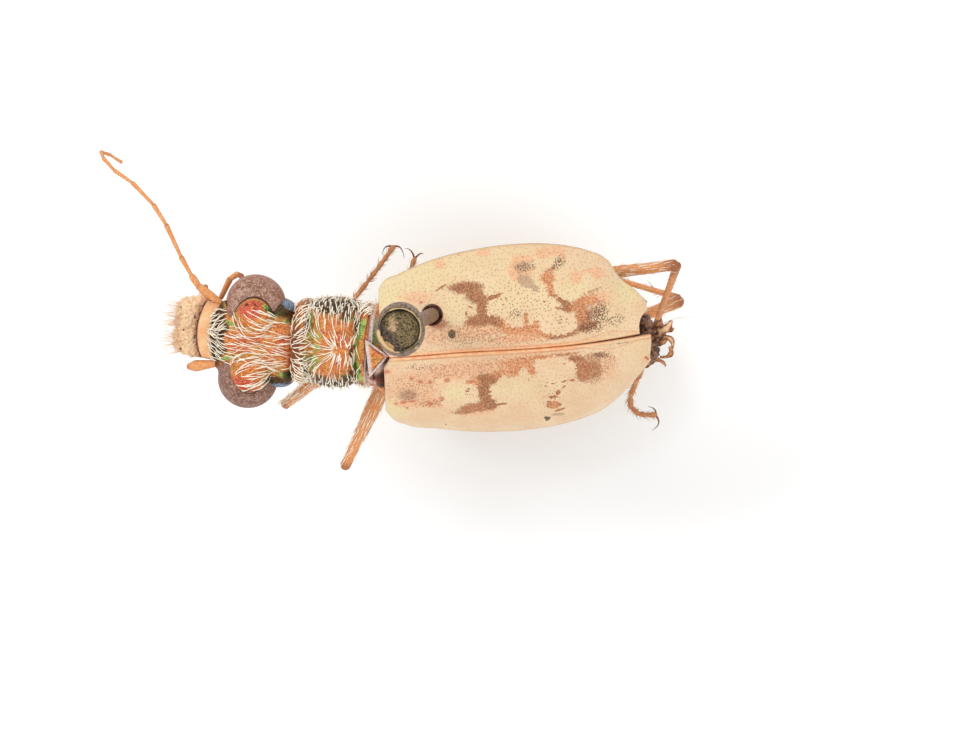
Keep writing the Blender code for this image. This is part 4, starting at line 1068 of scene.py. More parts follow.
lip_grid = []
for along in np.linspace(0, 1, 26):
    row = []
    for out in np.linspace(-1, 1, 110):
        edge = lip_edge(out) - 0.014 * math.sin(24 * out) - 0.008 * math.sin(61 * out + 1)
        rear = -0.84 + 0.05 * out**2
        height = -0.01 - 0.10 * (1 - along) ** 3 - 0.07 * out**2 - 0.16 * abs(out) ** 12
        height += 0.02 * math.sin(3 * along)
        row.append((edge + (rear - edge) * along, LIP_MIDDLE + LIP_HALF_WIDTH * out, height))
    lip_grid.append(row)
labrum = plate("ivory_labrum", lip_grid, 0.09)
at = points_of(labrum)
from_edge = at[:, 0] - lip_edge((at[:, 1] - LIP_MIDDLE) / LIP_HALF_WIDTH)
# Dark teeth along the front edge, and painted shadow of the gap between the lip and the jaws
carry(labrum, "dark_teeth_shadow_and_specks", np.clip(1.35 - from_edge / 0.055, 0, 1))
carry(labrum, "tan", np.clip(1.0 - from_edge / 0.12, 0, 1) * 0.4)

ivory_mouth, paint = start_finish("ivory_mouthparts")
grain = paint.speckle(0.035, 3)
ground = paint.speckle(0.25, 3).step(0.35, 0.7).mix(colour(244, 178, 122), colour(252, 208, 152))
ground = (paint.painted("tan") + 0.9 * grain - 0.45).step(0.2, 0.8).mix(ground, colour(216, 134, 92))
crust = paint.painted("crust")
ground = (0.65 * crust).mix(ground, colour(255, 222, 178, 1.12))
ground = (0.6 * crust * paint.speckle(0.045, 2).step(0.45, 0.62)).mix(ground, colour(255, 238, 208, 1.12))
ground = (0.4 * crust * paint.speckle(0.028, 1).step(0.58, 0.68)).mix(ground, colour(214, 140, 94))
# Dark teeth, painted shadow under the lip's edge, and dark specks of dirt
ground = (paint.painted("dark_teeth_shadow_and_specks") + 0.5 * grain - 0.25).step(0.35, 0.7).mix(ground, colour(96, 50, 26))
surface(ivory_mouth, {
    "Base Color": ground,
    "Roughness": 0.42 + 0.2 * grain,
    "Normal": paint.bump(grain, 0.01),
    "Subsurface Weight": 0.15,
    "Subsurface Radius": (1.0, 0.6, 0.35),
    "Subsurface Scale": 0.12 * MM,
})
settle(labrum, ivory_mouth, head_axes)
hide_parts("labrum")


# Mandibles.
# Two jaws closed under the lip. Dried food and dust have caked on them, so they look like one grainy mass.
# The balls that each jaw is melted from: their middles and half axes
jaw_lumps = (
    ("right", 1, ((-1.44, 0.42, -0.60, 0.42, 0.36, 0.26), (-1.52, 0.20, -0.62, 0.34, 0.26, 0.24),
                  (-1.22, 0.74, -0.46, 0.20, 0.16, 0.18), (-1.56, 0.44, -0.64, 0.30, 0.22, 0.20))),
    ("left", -1, ((-1.44, -0.18, -0.60, 0.42, 0.34, 0.26), (-1.56, -0.30, -0.62, 0.30, 0.28, 0.22),
                  (-1.36, -0.42, -0.56, 0.34, 0.20, 0.20), (-1.50, -0.02, -0.62, 0.34, 0.20, 0.24))),
)
# Dark specks of dirt: distance along and across the head, half axes, degrees, strength
dark_specks = (
    (-1.45, 0.84, 0.045, 0.035, 0, 1), (-1.66, -0.44, 0.04, 0.035, 0, 1), (-1.62, 0.02, 0.03, 0.025, 0, 1),
    (-1.72, 0.53, 0.03, 0.03, 0, 1), (-1.38, 0.36, 0.03, 0.05, 0, 0.9), (-1.36, -0.1, 0.03, 0.05, 0, 0.9),
)
jaws = {}
for word, side, lumps in jaw_lumps:
    balls = [ball("lump", lump[:3], lump[3:], 24) for lump in lumps]
    jaw = fused("mandible_caked_" + word, balls, 0.022, 9)
    at = points_of(jaw)
    rough = random.Random(5 + side)
    waves = [(rough.uniform(20, 90), rough.uniform(0, 6), rough.uniform(0, math.pi)) for _ in range(16)]
    push = sum(
        np.sin(pace * (at[:, 0] * math.cos(turn) + at[:, 1] * math.sin(turn)) + start + 5 * at[:, 2])
        for pace, start, turn in waves
    )
    reshape(jaw, at + normals_of(jaw) * (0.0042 * push)[:, None])
    carry(jaw, "tan", np.clip((at[:, 0] + 1.55) / 0.3, 0, 1) * 0.8)
    from_lip = at[:, 0] - lip_edge((at[:, 1] - LIP_MIDDLE) / LIP_HALF_WIDTH) + 0.15
    carry(jaw, "crust", 1 - 0.75 * np.clip(from_lip / 0.10, 0, 1))
    carry(jaw, "dark_teeth_shadow_and_specks", blots(at[:, 0], at[:, 1], dark_specks))
    jaws[word] = jaw
jaw_cover = cover_of(*jaws.values())
for word, jaw in jaws.items():
    settle(jaw, ivory_mouth, head_axes)
    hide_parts("mandible_" + word)


# Maxillae and palps.
# The second jaws lie under the head. Four jointed feelers of clear amber chitin come out beside them.
maxillae = fused(
    "maxillae_and_chin",
    [ball("lobe", (-0.85, 0.08 + side * 0.22, -1.28), (0.34, 0.22, 0.17), 24) for side in (1, -1)]
    + [ball("chin", (-0.48, 0.03, -1.30), (0.40, 0.46, 0.20), 24)],
    0.025, 4,
)
at = points_of(maxillae)
carry(maxillae, "tan", 0.35 + 0 * at[:, 0])
carry(maxillae, "dark_teeth_shadow_and_specks", np.clip((-1.1 - at[:, 0]) / 0.08, 0, 1))
settle(maxillae, ivory_mouth, head_axes)
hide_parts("maxillae")


# The domed end of a tube: how far each ring lies past it and how wide it is, as shares of the radius
dome = ((0.3, 0.93), (0.6, 0.75), (0.9, 0.3))


def tube(route, sides, step):
    """Rings round a smooth path through points of x, y, z and radius, with domed ends."""
    route = np.asarray(route, float)
    gaps = np.linalg.norm(np.diff(route[:, :3], axis=0), axis=1)
    along = np.concatenate(([0], np.cumsum(gaps)))
    table = np.column_stack((along, route))
    reading = np.linspace(0, along[-1], max(6, int(along[-1] / step)))
    path = np.stack([through(reading, table, k) for k in (1, 2, 3)], -1)
    radius = np.interp(reading, along, route[:, 3])
    run = np.gradient(path, axis=0)
    run /= np.linalg.norm(run, axis=1, keepdims=True)
    aside = np.cross(run[0], (0.1, 0.2, 1.0))
    turns = np.linspace(0, 2 * math.pi, sides, endpoint=False)
    rings = []
    for k, (middle, ahead, wide) in enumerate(zip(path, run, radius)):
        aside = aside - ahead * np.dot(aside, ahead)
        aside = aside / np.linalg.norm(aside)
        over = np.cross(ahead, aside)
        circle = np.cos(turns)[:, None] * aside + np.sin(turns)[:, None] * over
        if k == 0:
            rings += [middle - ahead * wide * past + circle * wide * girth for past, girth in dome[::-1]]
        rings.append(middle + circle * wide)
        if k == len(path) - 1:
            rings += [middle + ahead * wide * past + circle * wide * girth for past, girth in dome]
    return np.array(rings)


def tubes(name, routes, sides=16, step=0.02):
    """Several closed tubes in one mesh. It carries how far along its tube each point lies, from 0 to 1."""
    vertices, faces, lengthwise = [], [], []
    for route in routes:
        rings = tube(route, sides, step)
        points, skin = ringed(rings)
        faces += [[corner + len(vertices) for corner in face] for face in skin]
        vertices += points.tolist()
        lengthwise += np.repeat(np.linspace(0, 1, len(rings)), sides).tolist()
    piece = shape(name, vertices, faces)
    carry(piece, "lengthwise", lengthwise)
    # Painted shade: how far each point's skin turns away from facing straight up, so a tube's sides are
    # darker
    carry(piece, "painted_edge_shade", 1 - np.abs(normals_of(piece)[:, 2]))
    return piece


amber_chitin, paint = start_finish("amber_chitin")
grain = paint.speckle(0.05, 3)
ground = grain.step(0.35, 0.7).mix(colour(236, 146, 80), colour(246, 182, 122))
# Painted shade: the sides of each tube, seen from above, are darker and redder
ground = (0.85 * paint.painted("painted_edge_shade").step(0.50, 0.92)).mix(ground, colour(148, 66, 28))
ground = (0.85 * paint.painted("joint")).mix(ground, colour(134, 62, 28))
surface(amber_chitin, {
    "Base Color": ground,
    "Roughness": 0.34 + 0.2 * grain,
    "Normal": paint.bump(grain, 0.006),
    "Specular IOR Level": 0.4,
    "Subsurface Weight": 0.1,
    "Subsurface Radius": (1.0, 0.5, 0.25),
    "Subsurface Scale": 0.06 * MM,
})


def jointed(piece, reach, strength, lower_darkening=0.0):
    """Darkens both ends of each segment, and the points given by its last argument."""
    values = np.zeros(len(piece.data.vertices), np.float32)
    piece.data.attributes["lengthwise"].data.foreach_get("value", values)
    end = np.minimum(values, 1 - values)
    carry(piece, "joint", np.maximum(lower_darkening, strength * np.clip(1 - end / reach, 0, 1)))


palp_routes = {
    "maxillary_palp_right": (
        ((-0.90, 0.72, -1.10, 0.06), (-0.72, 1.18, -0.92, 0.075)),
        ((-0.71, 1.20, -0.92, 0.06), (-0.57, 1.31, -0.98, 0.07)),
        ((-0.56, 1.31, -1.00, 0.055), (-0.50, 1.22, -1.26, 0.07)),
    ),
    "maxillary_palp_left": (
        ((-0.76, -0.70, -1.10, 0.05), (-0.76, -1.00, -0.96, 0.065)),
        ((-0.76, -1.03, -0.95, 0.05), (-0.56, -1.26, -1.00, 0.065)),
        ((-0.55, -1.27, -1.01, 0.05), (-0.46, -1.22, -1.26, 0.07)),
    ),
    "labial_palp_right": (
        ((-1.16, 0.30, -1.38, 0.045), (-1.44, 0.56, -1.36, 0.06)),
        ((-1.44, 0.59, -1.36, 0.045), (-1.30, 0.88, -1.28, 0.065)),
    ),
    "labial_palp_left": (
        ((-1.16, -0.14, -1.38, 0.045), (-1.44, -0.40, -1.36, 0.06)),
        ((-1.44, -0.43, -1.36, 0.045), (-1.30, -0.72, -1.28, 0.065)),
    ),
}
for name, routes in palp_routes.items():
    palp = tubes("amber_" + name, routes)
    jointed(palp, 0.15, 0.6)
    settle(palp, amber_chitin, head_axes)
    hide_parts(name)


# Antennae.
# Eleven tubes of amber chitin each: a stout scape, a bead and nine thin joints that widen to their ends. The
# right one bows forward to a hooked tip, and the left one is folded down beside the jaws.
antenna_joints = {
    "right": (
        (-4.82, 0.20, 7.90), (-5.36, 0.62, 8.00), (-5.52, 0.86, 8.02), (-5.75, 1.29, 8.10),
        (-6.08, 2.02, 8.15), (-6.37, 2.47, 8.10), (-6.86, 2.97, 8.00), (-7.29, 3.25, 7.85),
        (-7.57, 3.52, 7.62), (-7.66, 3.67, 7.36), (-7.50, 3.60, 7.06), (-7.26, 3.43, 6.90),
    ),
    "left": (
        (-4.94, -1.13, 7.75), (-5.62, -1.21, 7.62), (-5.65, -1.22, 7.36), (-5.72, -1.25, 6.95),
        (-5.76, -1.28, 6.40), (-5.77, -1.29, 5.85), (-5.80, -1.29, 5.25), (-5.50, -1.26, 4.65),
        (-5.05, -1.20, 4.22), (-4.52, -1.13, 4.02), (-4.15, -1.08, 3.93), (-3.78, -1.04, 3.85),
    ),
}
antenna_lengths = ("scape", "base", "middle", "tip")
for word, places in antenna_joints.items():
    routes = []
    for k, (near, far) in enumerate(zip(places, places[1:])):
        near, far = np.array(near), np.array(far)
        if k == 0:
            radii = (0.065, 0.085, 0.10, 0.085) if word == "right" else (0.070, 0.095, 0.135, 0.09)
        elif k == 1:
            radii = (0.06, 0.075, 0.08, 0.07)
        else:
            slim = 1 - 0.035 * k
            radii = (0.045 * slim, 0.052 * slim, 0.060 * slim, 0.066 * slim)
        routes.append([
            (*(near + (far - near) * share), radius) for share, radius in zip((0.04, 0.3, 0.8, 0.98), radii)
        ])
    antenna = tubes("antenna_joints_" + word, routes)
    jointed(antenna, 0.10, 0.75)
    settle(antenna, amber_chitin)
    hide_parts(*("antenna_%s_%s" % (length, word) for length in antenna_lengths))


# Prothorax.
# A barrel of coppery chitin, cinched by a groove behind its front edge and another before its hind edge. A
# fine line parts its disc into two swellings, and the grooves shine green.
prothorax_axes = section((-2.26, -0.82, 8.60), -4.3)
barrel_table = (
    (-1.02, 0.02, 0.74, -0.20, -1.40), (-0.88, 0.02, 0.90, -0.06, -1.62), (-0.72, 0.02, 0.94, -0.04, -1.74),
    (-0.55, 0.02, 0.92, -0.12, -1.80), (-0.35, 0.02, 0.98, -0.01, -1.88), (0.05, 0.02, 1.01, 0.02, -1.90),
    (0.33, 0.02, 0.97, -0.03, -1.86), (0.48, 0.02, 0.90, -0.14, -1.78), (0.62, 0.02, 0.93, -0.07, -1.70),
    (0.76, 0.02, 0.92, -0.10, -1.62), (0.84, 0.02, 0.86, -0.18, -1.56),
)
barrel = lofted("prothorax_barrel", barrel_table, sides=150, step=0.018, cap=0.10)
at = points_of(barrel)
x, y, z = at.T
over = np.clip((z + 0.55) / 0.3, 0, 1)
swelling = np.exp(-((x + 0.02) / 0.30) ** 2 - ((np.abs(y - 0.02) - 0.42) / 0.26) ** 2)
hind_groove = 0.45 + 0.08 * np.cos(2.6 * (np.abs(y) - 0.6))
z = z + over * (
    0.055 * swelling
    - 0.020 * np.exp(-((y - 0.02) / 0.02) ** 2) * np.exp(-(x / 0.42) ** 2)
    - 0.045 * np.exp(-((x - hind_groove) / 0.045) ** 2)
    - 0.035 * np.exp(-((x + 0.54) / 0.05) ** 2)
    + 0.03 * np.exp(-((x - 0.735) / 0.02) ** 2)
)
reshape(barrel, np.stack((x, y, z), -1))
barrel_marks = {
    "red": (
        (-0.80, 0.02, 0.16, 0.55, 0, 0.7), (0.16, 0.25, 0.22, 0.20, 0, 0.6),
        (0.16, -0.22, 0.22, 0.16, 0, 0.6), (-0.25, 0.40, 0.15, 0.10, 0, 0.5),
        (0.60, 0.76, 0.06, 0.08, 0, 1), (0.10, 0.30, 0.14, 0.12, 0, 0.7),
    ),
    "gold": (
        (-0.36, 0.52, 0.12, 0.18, 0, 0.7), (-0.30, -0.20, 0.18, 0.14, 0, 0.8),
        (0.60, 0.0, 0.08, 0.3, 0, 0.7), (-0.45, 0.02, 0.10, 0.22, 0, 0.9),
        (0.60, 0.20, 0.05, 0.2, -10, 0.9), (0.59, -0.3, 0.05, 0.16, 5, 0.9),
        (0.15, 0.72, 0.2, 0.08, 0, 0.7), (-0.2, 0.75, 0.15, 0.06, 0, 0.8), (0.62, -0.74, 0.07, 0.07, 0, 1),
    ),
    "green": (
        (-0.56, 0.62, 0.04, 0.20, 10, 1.0), (-0.52, 0.38, 0.035, 0.12, 10, 0.9),
        (-0.56, -0.66, 0.06, 0.18, 0, 1.0), (-0.47, -0.40, 0.05, 0.12, 20, 0.9),
        (-0.38, 0.05, 0.14, 0.08, 0, 0.75), (0.50, 0.66, 0.05, 0.14, 0, 1.1),
        (0.59, 0.50, 0.07, 0.24, -16, 1.3), (0.53, 0.42, 0.05, 0.20, -12, 1.1),
        (0.49, 0.14, 0.045, 0.18, 6, 1.0), (0.49, -0.24, 0.045, 0.18, -10, 1.0),
        (0.57, -0.50, 0.07, 0.22, 0, 1.3), (0.62, -0.62, 0.06, 0.10, 30, 1),
        (-0.40, 0.30, 0.20, 0.10, 0, 0.55), (-0.45, -0.25, 0.16, 0.14, 0, 0.7),
        (0.3, -0.6, 0.2, 0.08, 0, 0.6), (-0.66, -0.3, 0.08, 0.3, 0, 0.6), (0.30, 0.70, 0.16, 0.06, 0, 0.6),
        (-0.6, 0.25, 0.1, 0.2, 0, 0.55),
    ),
    # Dark marks. The wide ones along the flanks and across the front band are painted shadow between the
    # hairs
    "dark": (
        (-0.66, 0.60, 0.05, 0.24, 8, 0.9), (-0.64, -0.60, 0.05, 0.24, 0, 0.9),
        (0.43, 0.70, 0.035, 0.16, 10, 1.0), (0.47, 0.50, 0.025, 0.18, -5, 1),
        (0.42, -0.52, 0.05, 0.12, 0, 0.8), (0.50, -0.48, 0.022, 0.22, 0, 1.0),
        (0.12, 0.03, 0.5, 0.012, 0, 0.7), (-0.04, 0.94, 0.72, 0.14, 0, 1.1),
        (-0.04, -0.88, 0.74, 0.20, 0, 1.1), (0.34, -0.66, 0.16, 0.12, 0, 0.8),
        (0.24, 0.76, 0.14, 0.10, 0, 0.8), (-0.86, 0.0, 0.14, 0.95, 0, 0.62),
        (0.715, 0.55, 0.012, 0.40, -4, 1), (0.712, 0.0, 0.012, 0.50, 2, 1),
        (0.73, -0.50, 0.014, 0.40, 8, 1), (-0.35, -0.66, 0.3, 0.08, 0, 0.7),
        (0.40, -0.05, 0.05, 0.2, 0, 0.7), (-0.7, 0.0, 0.05, 0.8, 0, 0.6),
    ),
    "pale": ((0.79, 0.06, 0.045, 1.0, -3, 1.4),),
}
painted_with(barrel, barrel_marks)
barrel_cover = cover_of(barrel)
settle(barrel, copper_chitin, prothorax_axes)
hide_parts("prothorax")


# Scutellum.
# A small copper triangle let in between the shoulders of the wing covers. Its two raised edges are dark.
scutellum_grid = []
for along in np.linspace(0, 1, 30):
    half = 0.44 * (1 - along) + 0.012
    scutellum_grid.append([
        (
            -0.50 + 0.48 * along,
            0.03 + half * out,
            -0.10 - 0.05 * out**2 - 0.05 * along + 0.02 * (abs(out) > 0.93),
        )
        for out in np.linspace(-1, 1, 30)
    ])
scutellum = plate("scutellum_plate", scutellum_grid, 0.22)
painted_with(scutellum, {
    "gold": ((-0.32, -0.02, 0.15, 0.10, 0, 0.6),),
    "red": ((-0.26, 0.16, 0.16, 0.03, -42, 1.1),),
    "dark": ((-0.30, 0.22, 0.26, 0.016, -43, 0.9), (-0.30, -0.16, 0.26, 0.016, 43, 0.9)),
    "pale": (
        (-0.47, 0.0, 0.045, 0.5, 0, 1.4), (-0.27, 0.25, 0.34, 0.030, -43, 1.3),
        (-0.27, -0.19, 0.34, 0.030, 43, 1.3),
    ),
})
settle(scutellum, copper_chitin, hind_body)
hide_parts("scutellum")


# Hind collar.
# The soft membrane that joins the prothorax to the hind body, dried to a wrinkled grey-pink sleeve.
collar_table = (
    (0.55, 0.02, 0.84, -0.18, -1.50), (0.74, 0.02, 0.90, -0.16, -1.56), (0.86, 0.02, 0.93, -0.17, -1.60),
    (0.98, 0.00, 0.93, -0.23, -1.62), (1.14, -0.02, 0.88, -0.34, -1.60),
)
collar = lofted("hind_collar_membrane", collar_table, sides=120, step=0.012, cap=0.06)
at = points_of(collar)
x, y, z = at.T
fold = 0.012 * np.sin(70 * x + 6 * np.sin(3 * y)) * np.clip((z + 0.8) / 0.3, 0, 1)
reshape(collar, np.stack((x, y, z + fold), -1))
painted_with(collar, {
    "pale": (
        (0.82, 0.30, 0.12, 0.75, 0, 1.1), (0.92, 0.30, 0.14, 0.45, 0, 0.8),
        (0.79, -0.60, 0.04, 0.45, 0, 1.0), (1.06, -0.52, 0.035, 0.30, -20, 1.0),
        (0.95, -0.34, 0.16, 0.03, 12, 1.0), (0.92, -0.74, 0.14, 0.04, 0, 0.9),
    ),
    "red": ((0.91, -0.54, 0.10, 0.12, 0, 1.3),),
    "green": ((0.93, 0.50, 0.06, 0.16, 0, 0.9), (0.90, 0.64, 0.05, 0.10, 0, 0.8)),
    "dark": (
        (0.91, -0.54, 0.11, 0.14, 0, 0.82), (1.12, 0.1, 0.05, 1.0, 0, 0.9), (0.98, 0.66, 0.06, 0.2, 0, 0.7),
    ),
})
settle(collar, copper_chitin, prothorax_axes)
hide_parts("prothorax")


# Underbody.
# The hind thorax and the abdomen below the wing covers, one dark coppery skin whose belly plates overlap to
# the tail. Its sides show only beside the shoulders, as dark red and green plates.
trunk_table = (
    (-0.50, 0.00, 0.62, -0.42, -1.55), (-0.34, 0.00, 0.92, -0.28, -1.75), (-0.10, 0.00, 1.16, -0.34, -2.00),
    (0.40, 0.00, 1.38, -0.64, -2.22), (1.20, 0.00, 1.50, -0.66, -2.32), (2.40, 0.00, 1.48, -0.72, -2.30),
    (3.00, 0.00, 1.42, -0.79, -2.14), (3.50, 0.00, 1.34, -0.82, -2.06), (4.20, 0.00, 1.12, -0.95, -1.94),
    (5.00, -0.05, 0.78, -1.02, -1.82), (5.45, -0.10, 0.50, -1.08, -1.72), (5.62, -0.12, 0.38, -1.12, -1.66),
)
trunk = lofted("underbody_skin", trunk_table, sides=110, step=0.025, square=2.2, cap=0.12)
at = points_of(trunk)
x, y, z = at.T
plate_run = np.where(x > 2.75, (x - 2.75) / 0.52 % 1, 0)
belly = np.clip((-1.2 - z) / 0.4, 0, 1)
z = z - belly * 0.035 * plate_run
z = z + belly * 0.05 * np.exp(-((x - 2.62) / 0.05) ** 2)
z = z + belly * 0.03 * np.exp(-(y / 0.04) ** 2) * (x < 2.6)
y = y * (1 + 0.02 * plate_run)
reshape(trunk, np.stack((x, y, z), -1))
painted_with(trunk, {
    "red": ((-0.24, -0.50, 0.15, 0.15, 0, 1.4),),
    "green": ((-0.25, 0.55, 0.25, 0.30, 0, 0.8), (-0.12, -0.50, 0.05, 0.2, 0, 1.0)),
    "dark": (
        (-0.26, -0.48, 0.20, 0.20, 0, 0.78), (-0.08, -0.66, 0.04, 0.3, 0, 1.1),
        (-0.28, 0.5, 0.3, 0.3, 0, 0.6), (-0.30, -0.68, 0.2, 0.05, 0, 1.2),
    ),
    "pale": ((-0.20, -0.22, 0.28, 0.045, 40, 1.3),),
})
trunk_cover = cover_of(trunk)
settle(trunk, copper_chitin, hind_body)
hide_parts("pterothorax", "abdomen")


# Abdomen tip.
# The last segments have dried, shrunk and torn. They end in a dark crumpled collar and curled brown flaps.
tip_lumps = [
    ball("collar", (5.73, -0.34, -1.36), (0.20, 0.52, 0.42), 20),
    ball("collar", (5.84, -0.52, -1.34), (0.14, 0.44, 0.34), 20),
    ball("collar", (5.79, -0.14, -1.30), (0.19, 0.21, 0.32), 20),
    ball("core", (6.02, -0.30, -1.40), (0.20, 0.28, 0.24), 20),
]
tip = fused("torn_abdomen_tip", tip_lumps, 0.024, 1)
at = points_of(tip)
rough = random.Random(23)
push = 0
for _ in range(26):
    pace, start = rough.uniform(9, 34), rough.uniform(0, 6)
    turn, lean = rough.uniform(0, 3.1), rough.uniform(-9, 9)
    push = push + np.abs(np.sin(
        pace * (at[:, 0] * math.cos(turn) + at[:, 1] * math.sin(turn)) + start + lean * at[:, 2]
    ))
reshape(tip, at + normals_of(tip) * ((push - 16) * 0.016)[:, None])

torn_chitin, paint = start_finish("torn_dark_chitin")
crumple = paint.speckle(0.10, 4)
ground = crumple.step(0.42, 0.62).mix(colour(84, 42, 28), colour(164, 118, 92))
ground = (paint.speckle(0.04, 2).step(0.58, 0.7) * 0.6).mix(ground, colour(204, 156, 112))
amber = crumple.step(0.35, 0.65).mix(colour(168, 88, 44), colour(238, 168, 110))
ground = paint.painted("amber").mix(ground, amber)
ground = (paint.painted("glassy") + 0.6 * crumple - 0.3).step(0.1, 0.7).mix(ground, colour(255, 214, 168))
surface(torn_chitin, {
    "Base Color": ground,
    "Roughness": 0.38 + 0.3 * crumple,
    "Normal": paint.bump(crumple, 0.03),
    "Specular IOR Level": 0.4,
})
settle(tip, torn_chitin, hind_body)
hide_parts("abdomen_tip")

flaps = (
    ((6.00, -0.20, -1.20), (6.22, -0.24, -0.96), (6.38, 0.04, -1.08), 0.095),
    ((5.96, -0.10, -1.22), (6.14, 0.00, -1.04), (6.14, 0.10, -1.06), 0.050),
    ((6.02, -0.34, -1.22), (6.46, -0.32, -1.16), (6.30, -0.66, -1.10), 0.050),
    ((6.28, -0.56, -1.12), (6.36, -0.84, -1.06), (6.02, -0.80, -1.18), 0.045),
    ((6.02, -0.44, -1.22), (6.20, -0.50, -1.02), (6.22, -0.36, -1.12), 0.036),
    ((5.84, -0.86, -1.26), (5.76, -0.98, -1.28), (5.64, -1.06, -1.40), 0.042),
    ((5.90, -0.86, -1.26), (6.06, -0.86, -1.20), (6.12, -1.06, -1.34), 0.034),
    ((6.10, -0.24, -1.36), (6.34, -0.30, -1.50), (6.38, -0.20, -1.36), 0.040),
)
for number, (near, middle, far, wide) in enumerate(flaps):
    near, middle, far = (np.array(place) for place in (near, middle, far))
    flap_grid = []
    for along in np.linspace(0, 1, 14):
        spine = (1 - along) ** 2 * near + 2 * along * (1 - along) * middle + along**2 * far
        heading = 2 * (1 - along) * (middle - near) + 2 * along * (far - middle)
        aside = np.cross(heading, (0, 0, 1.0))
        aside = aside / np.linalg.norm(aside)
        girth = wide * (1 - 0.80 * along**3) * (1 + 0.25 * math.sin(11 * along + number))
        flap_grid.append([
            spine + aside * girth * out + np.array((0, 0, 0.55 * girth * (out**2 - 0.5)))
            for out in np.linspace(-1, 1, 9)
        ])
    flap = plate("torn_flap_%d" % (number + 1), flap_grid, 0.018)
    across = np.abs(np.tile(np.linspace(-1, 1, 9), 2 * 14))[:len(flap.data.vertices)]
    carry(flap, "amber", 1.0 - 0.7 * across**3)
    carry(flap, "glassy", (0.6 if number in (0, 2) else 0.2) * (1 - across**2))
    settle(flap, torn_chitin, hind_body)
    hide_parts("abdomen_tip")


# Legs.
# Six legs of amber chitin, folded as the dried beetle holds them. Each is a hip, a spindle-shaped thigh, a
# thin shin with two spurs, and a foot of five short joints with a pair of long thin dark claws.
# Places of the joints, radii at the thigh, knee, shin and foot, and each claw's bend and tip off the foot
legs = {
    "fore_right": {
        "hip": (-2.42, -0.54, 6.9), "thigh": ((-2.42, -0.54, 6.45), (-3.69, -0.93, 5.30)),
        "shin": ((-3.66, -0.88, 5.22), (-2.20, 0.15, 4.60)),
        "foot": ((-2.20, 0.15, 4.60), (-1.80, 0.68, 4.38), (-1.28, 1.41, 4.00)),
        "girth": (0.15, 0.10, 0.07, 0.055),
        "claws": (((-0.15, 0.05, 0.02), (-0.27, -0.19, -0.12)), ((0.13, 0.05, 0.02), (0.23, -0.27, -0.16))),
    },
    "fore_left": {
        "hip": (-2.43, -1.24, 6.8), "thigh": ((-2.43, -1.24, 6.35), (-3.61, -2.15, 5.90)),
        "shin": ((-3.60, -2.12, 5.80), (-2.72, -1.19, 4.60)),
        "foot": ((-2.72, -1.19, 4.60), (-2.30, -1.22, 4.15), (-2.02, -1.25, 3.75)),
        "girth": (0.16, 0.12, 0.07, 0.055),
        "claws": (((0.10, 0.14, 0.0), (0.18, 0.24, -0.14)), ((0.10, -0.14, 0.0), (0.18, -0.24, -0.14))),
    },
    "mid_right": {
        "hip": (-1.06, -0.55, 6.7), "thigh": ((-1.06, -0.55, 6.25), (-0.40, 0.86, 5.30)),
        "shin": ((-0.44, 0.86, 5.22), (-1.43, -0.43, 3.90)),
        "foot": ((-1.43, -0.43, 3.90), (-1.10, 0.40, 3.60), (-0.85, 1.11, 3.30)),
        "girth": (0.15, 0.10, 0.07, 0.055),
        "claws": (((-0.04, 0.16, 0.02), (-0.22, 0.24, -0.04)), ((0.10, 0.12, 0.02), (0.20, 0.10, -0.06))),
    },
    "mid_left": {
        "hip": (-1.13, -1.31, 6.7), "thigh": ((-1.13, -1.31, 6.25), (-2.30, -3.60, 5.30)),
        "shin": ((-2.26, -3.56, 5.22), (-1.67, -1.97, 3.90)),
        "foot": ((-1.67, -1.97, 3.90), (-0.90, -1.88, 3.50), (-0.27, -1.84, 3.30)),
        "girth": (0.19, 0.12, 0.07, 0.055),
        "claws": (((0.12, 0.14, 0.02), (0.18, 0.26, -0.08)), ((0.12, -0.14, 0.02), (0.18, -0.26, -0.08))),
    },
    "hind_right": {
        "hip": (1.44, -0.22, 6.4), "thigh": ((1.44, -0.22, 5.95), (3.40, 0.74, 6.35), (5.36, 1.07, 6.98)),
        "shin": ((5.44, 1.05, 6.94), (4.90, -0.30, 5.45), (4.39, -1.60, 3.90)),
        "foot": (
            (4.37, -1.66, 3.82), (4.22, -2.00, 3.62), (4.17, -2.30, 3.45), (4.36, -2.50, 3.35),
            (4.76, -2.53, 3.30),
        ),
        "girth": (0.19, 0.13, 0.085, 0.06),
        "claws": (((0.03, 0.10, 0.0), (-0.17, 0.19, -0.05)), ((0.12, -0.14, 0.0), (-0.08, -0.36, -0.08))),
    },
    "hind_left": {
        "hip": (1.33, -0.90, 6.5), "thigh": ((1.33, -0.90, 6.05), (3.40, -0.58, 5.25), (5.36, 0.15, 4.54)),
        "shin": ((5.34, 0.24, 4.46), (5.10, 0.30, 4.12), (3.99, 0.62, 3.85), (2.49, 1.17, 3.55)),
        "foot": ((2.49, 1.17, 3.55), (1.90, 0.95, 3.35), (1.32, 0.66, 3.15)),
        "girth": (0.16, 0.14, 0.075, 0.055),
        "claws": (((-0.14, 0.12, 0.0), (-0.24, 0.20, -0.08)), ((-0.14, -0.12, 0.0), (-0.24, -0.22, -0.08))),
    },
}


def spaced(places, shares):
    """Points at given shares of the way along a smooth path through places."""
    places = np.asarray(places, float)
    gaps = np.linalg.norm(np.diff(places, axis=0), axis=1)
    along = np.concatenate(([0], np.cumsum(gaps))) / gaps.sum()
    table = np.column_stack((along, places))
    return np.stack([through(np.asarray(shares, float), table, k) for k in (1, 2, 3)], -1)


dark_claw, paint = start_finish("dark_claw")
surface(dark_claw, {
    "Base Color": paint.painted("lengthwise").mix(colour(150, 84, 52), colour(66, 34, 26)),
    "Roughness": 0.3 + 0.1 * paint.speckle(0.05),
})
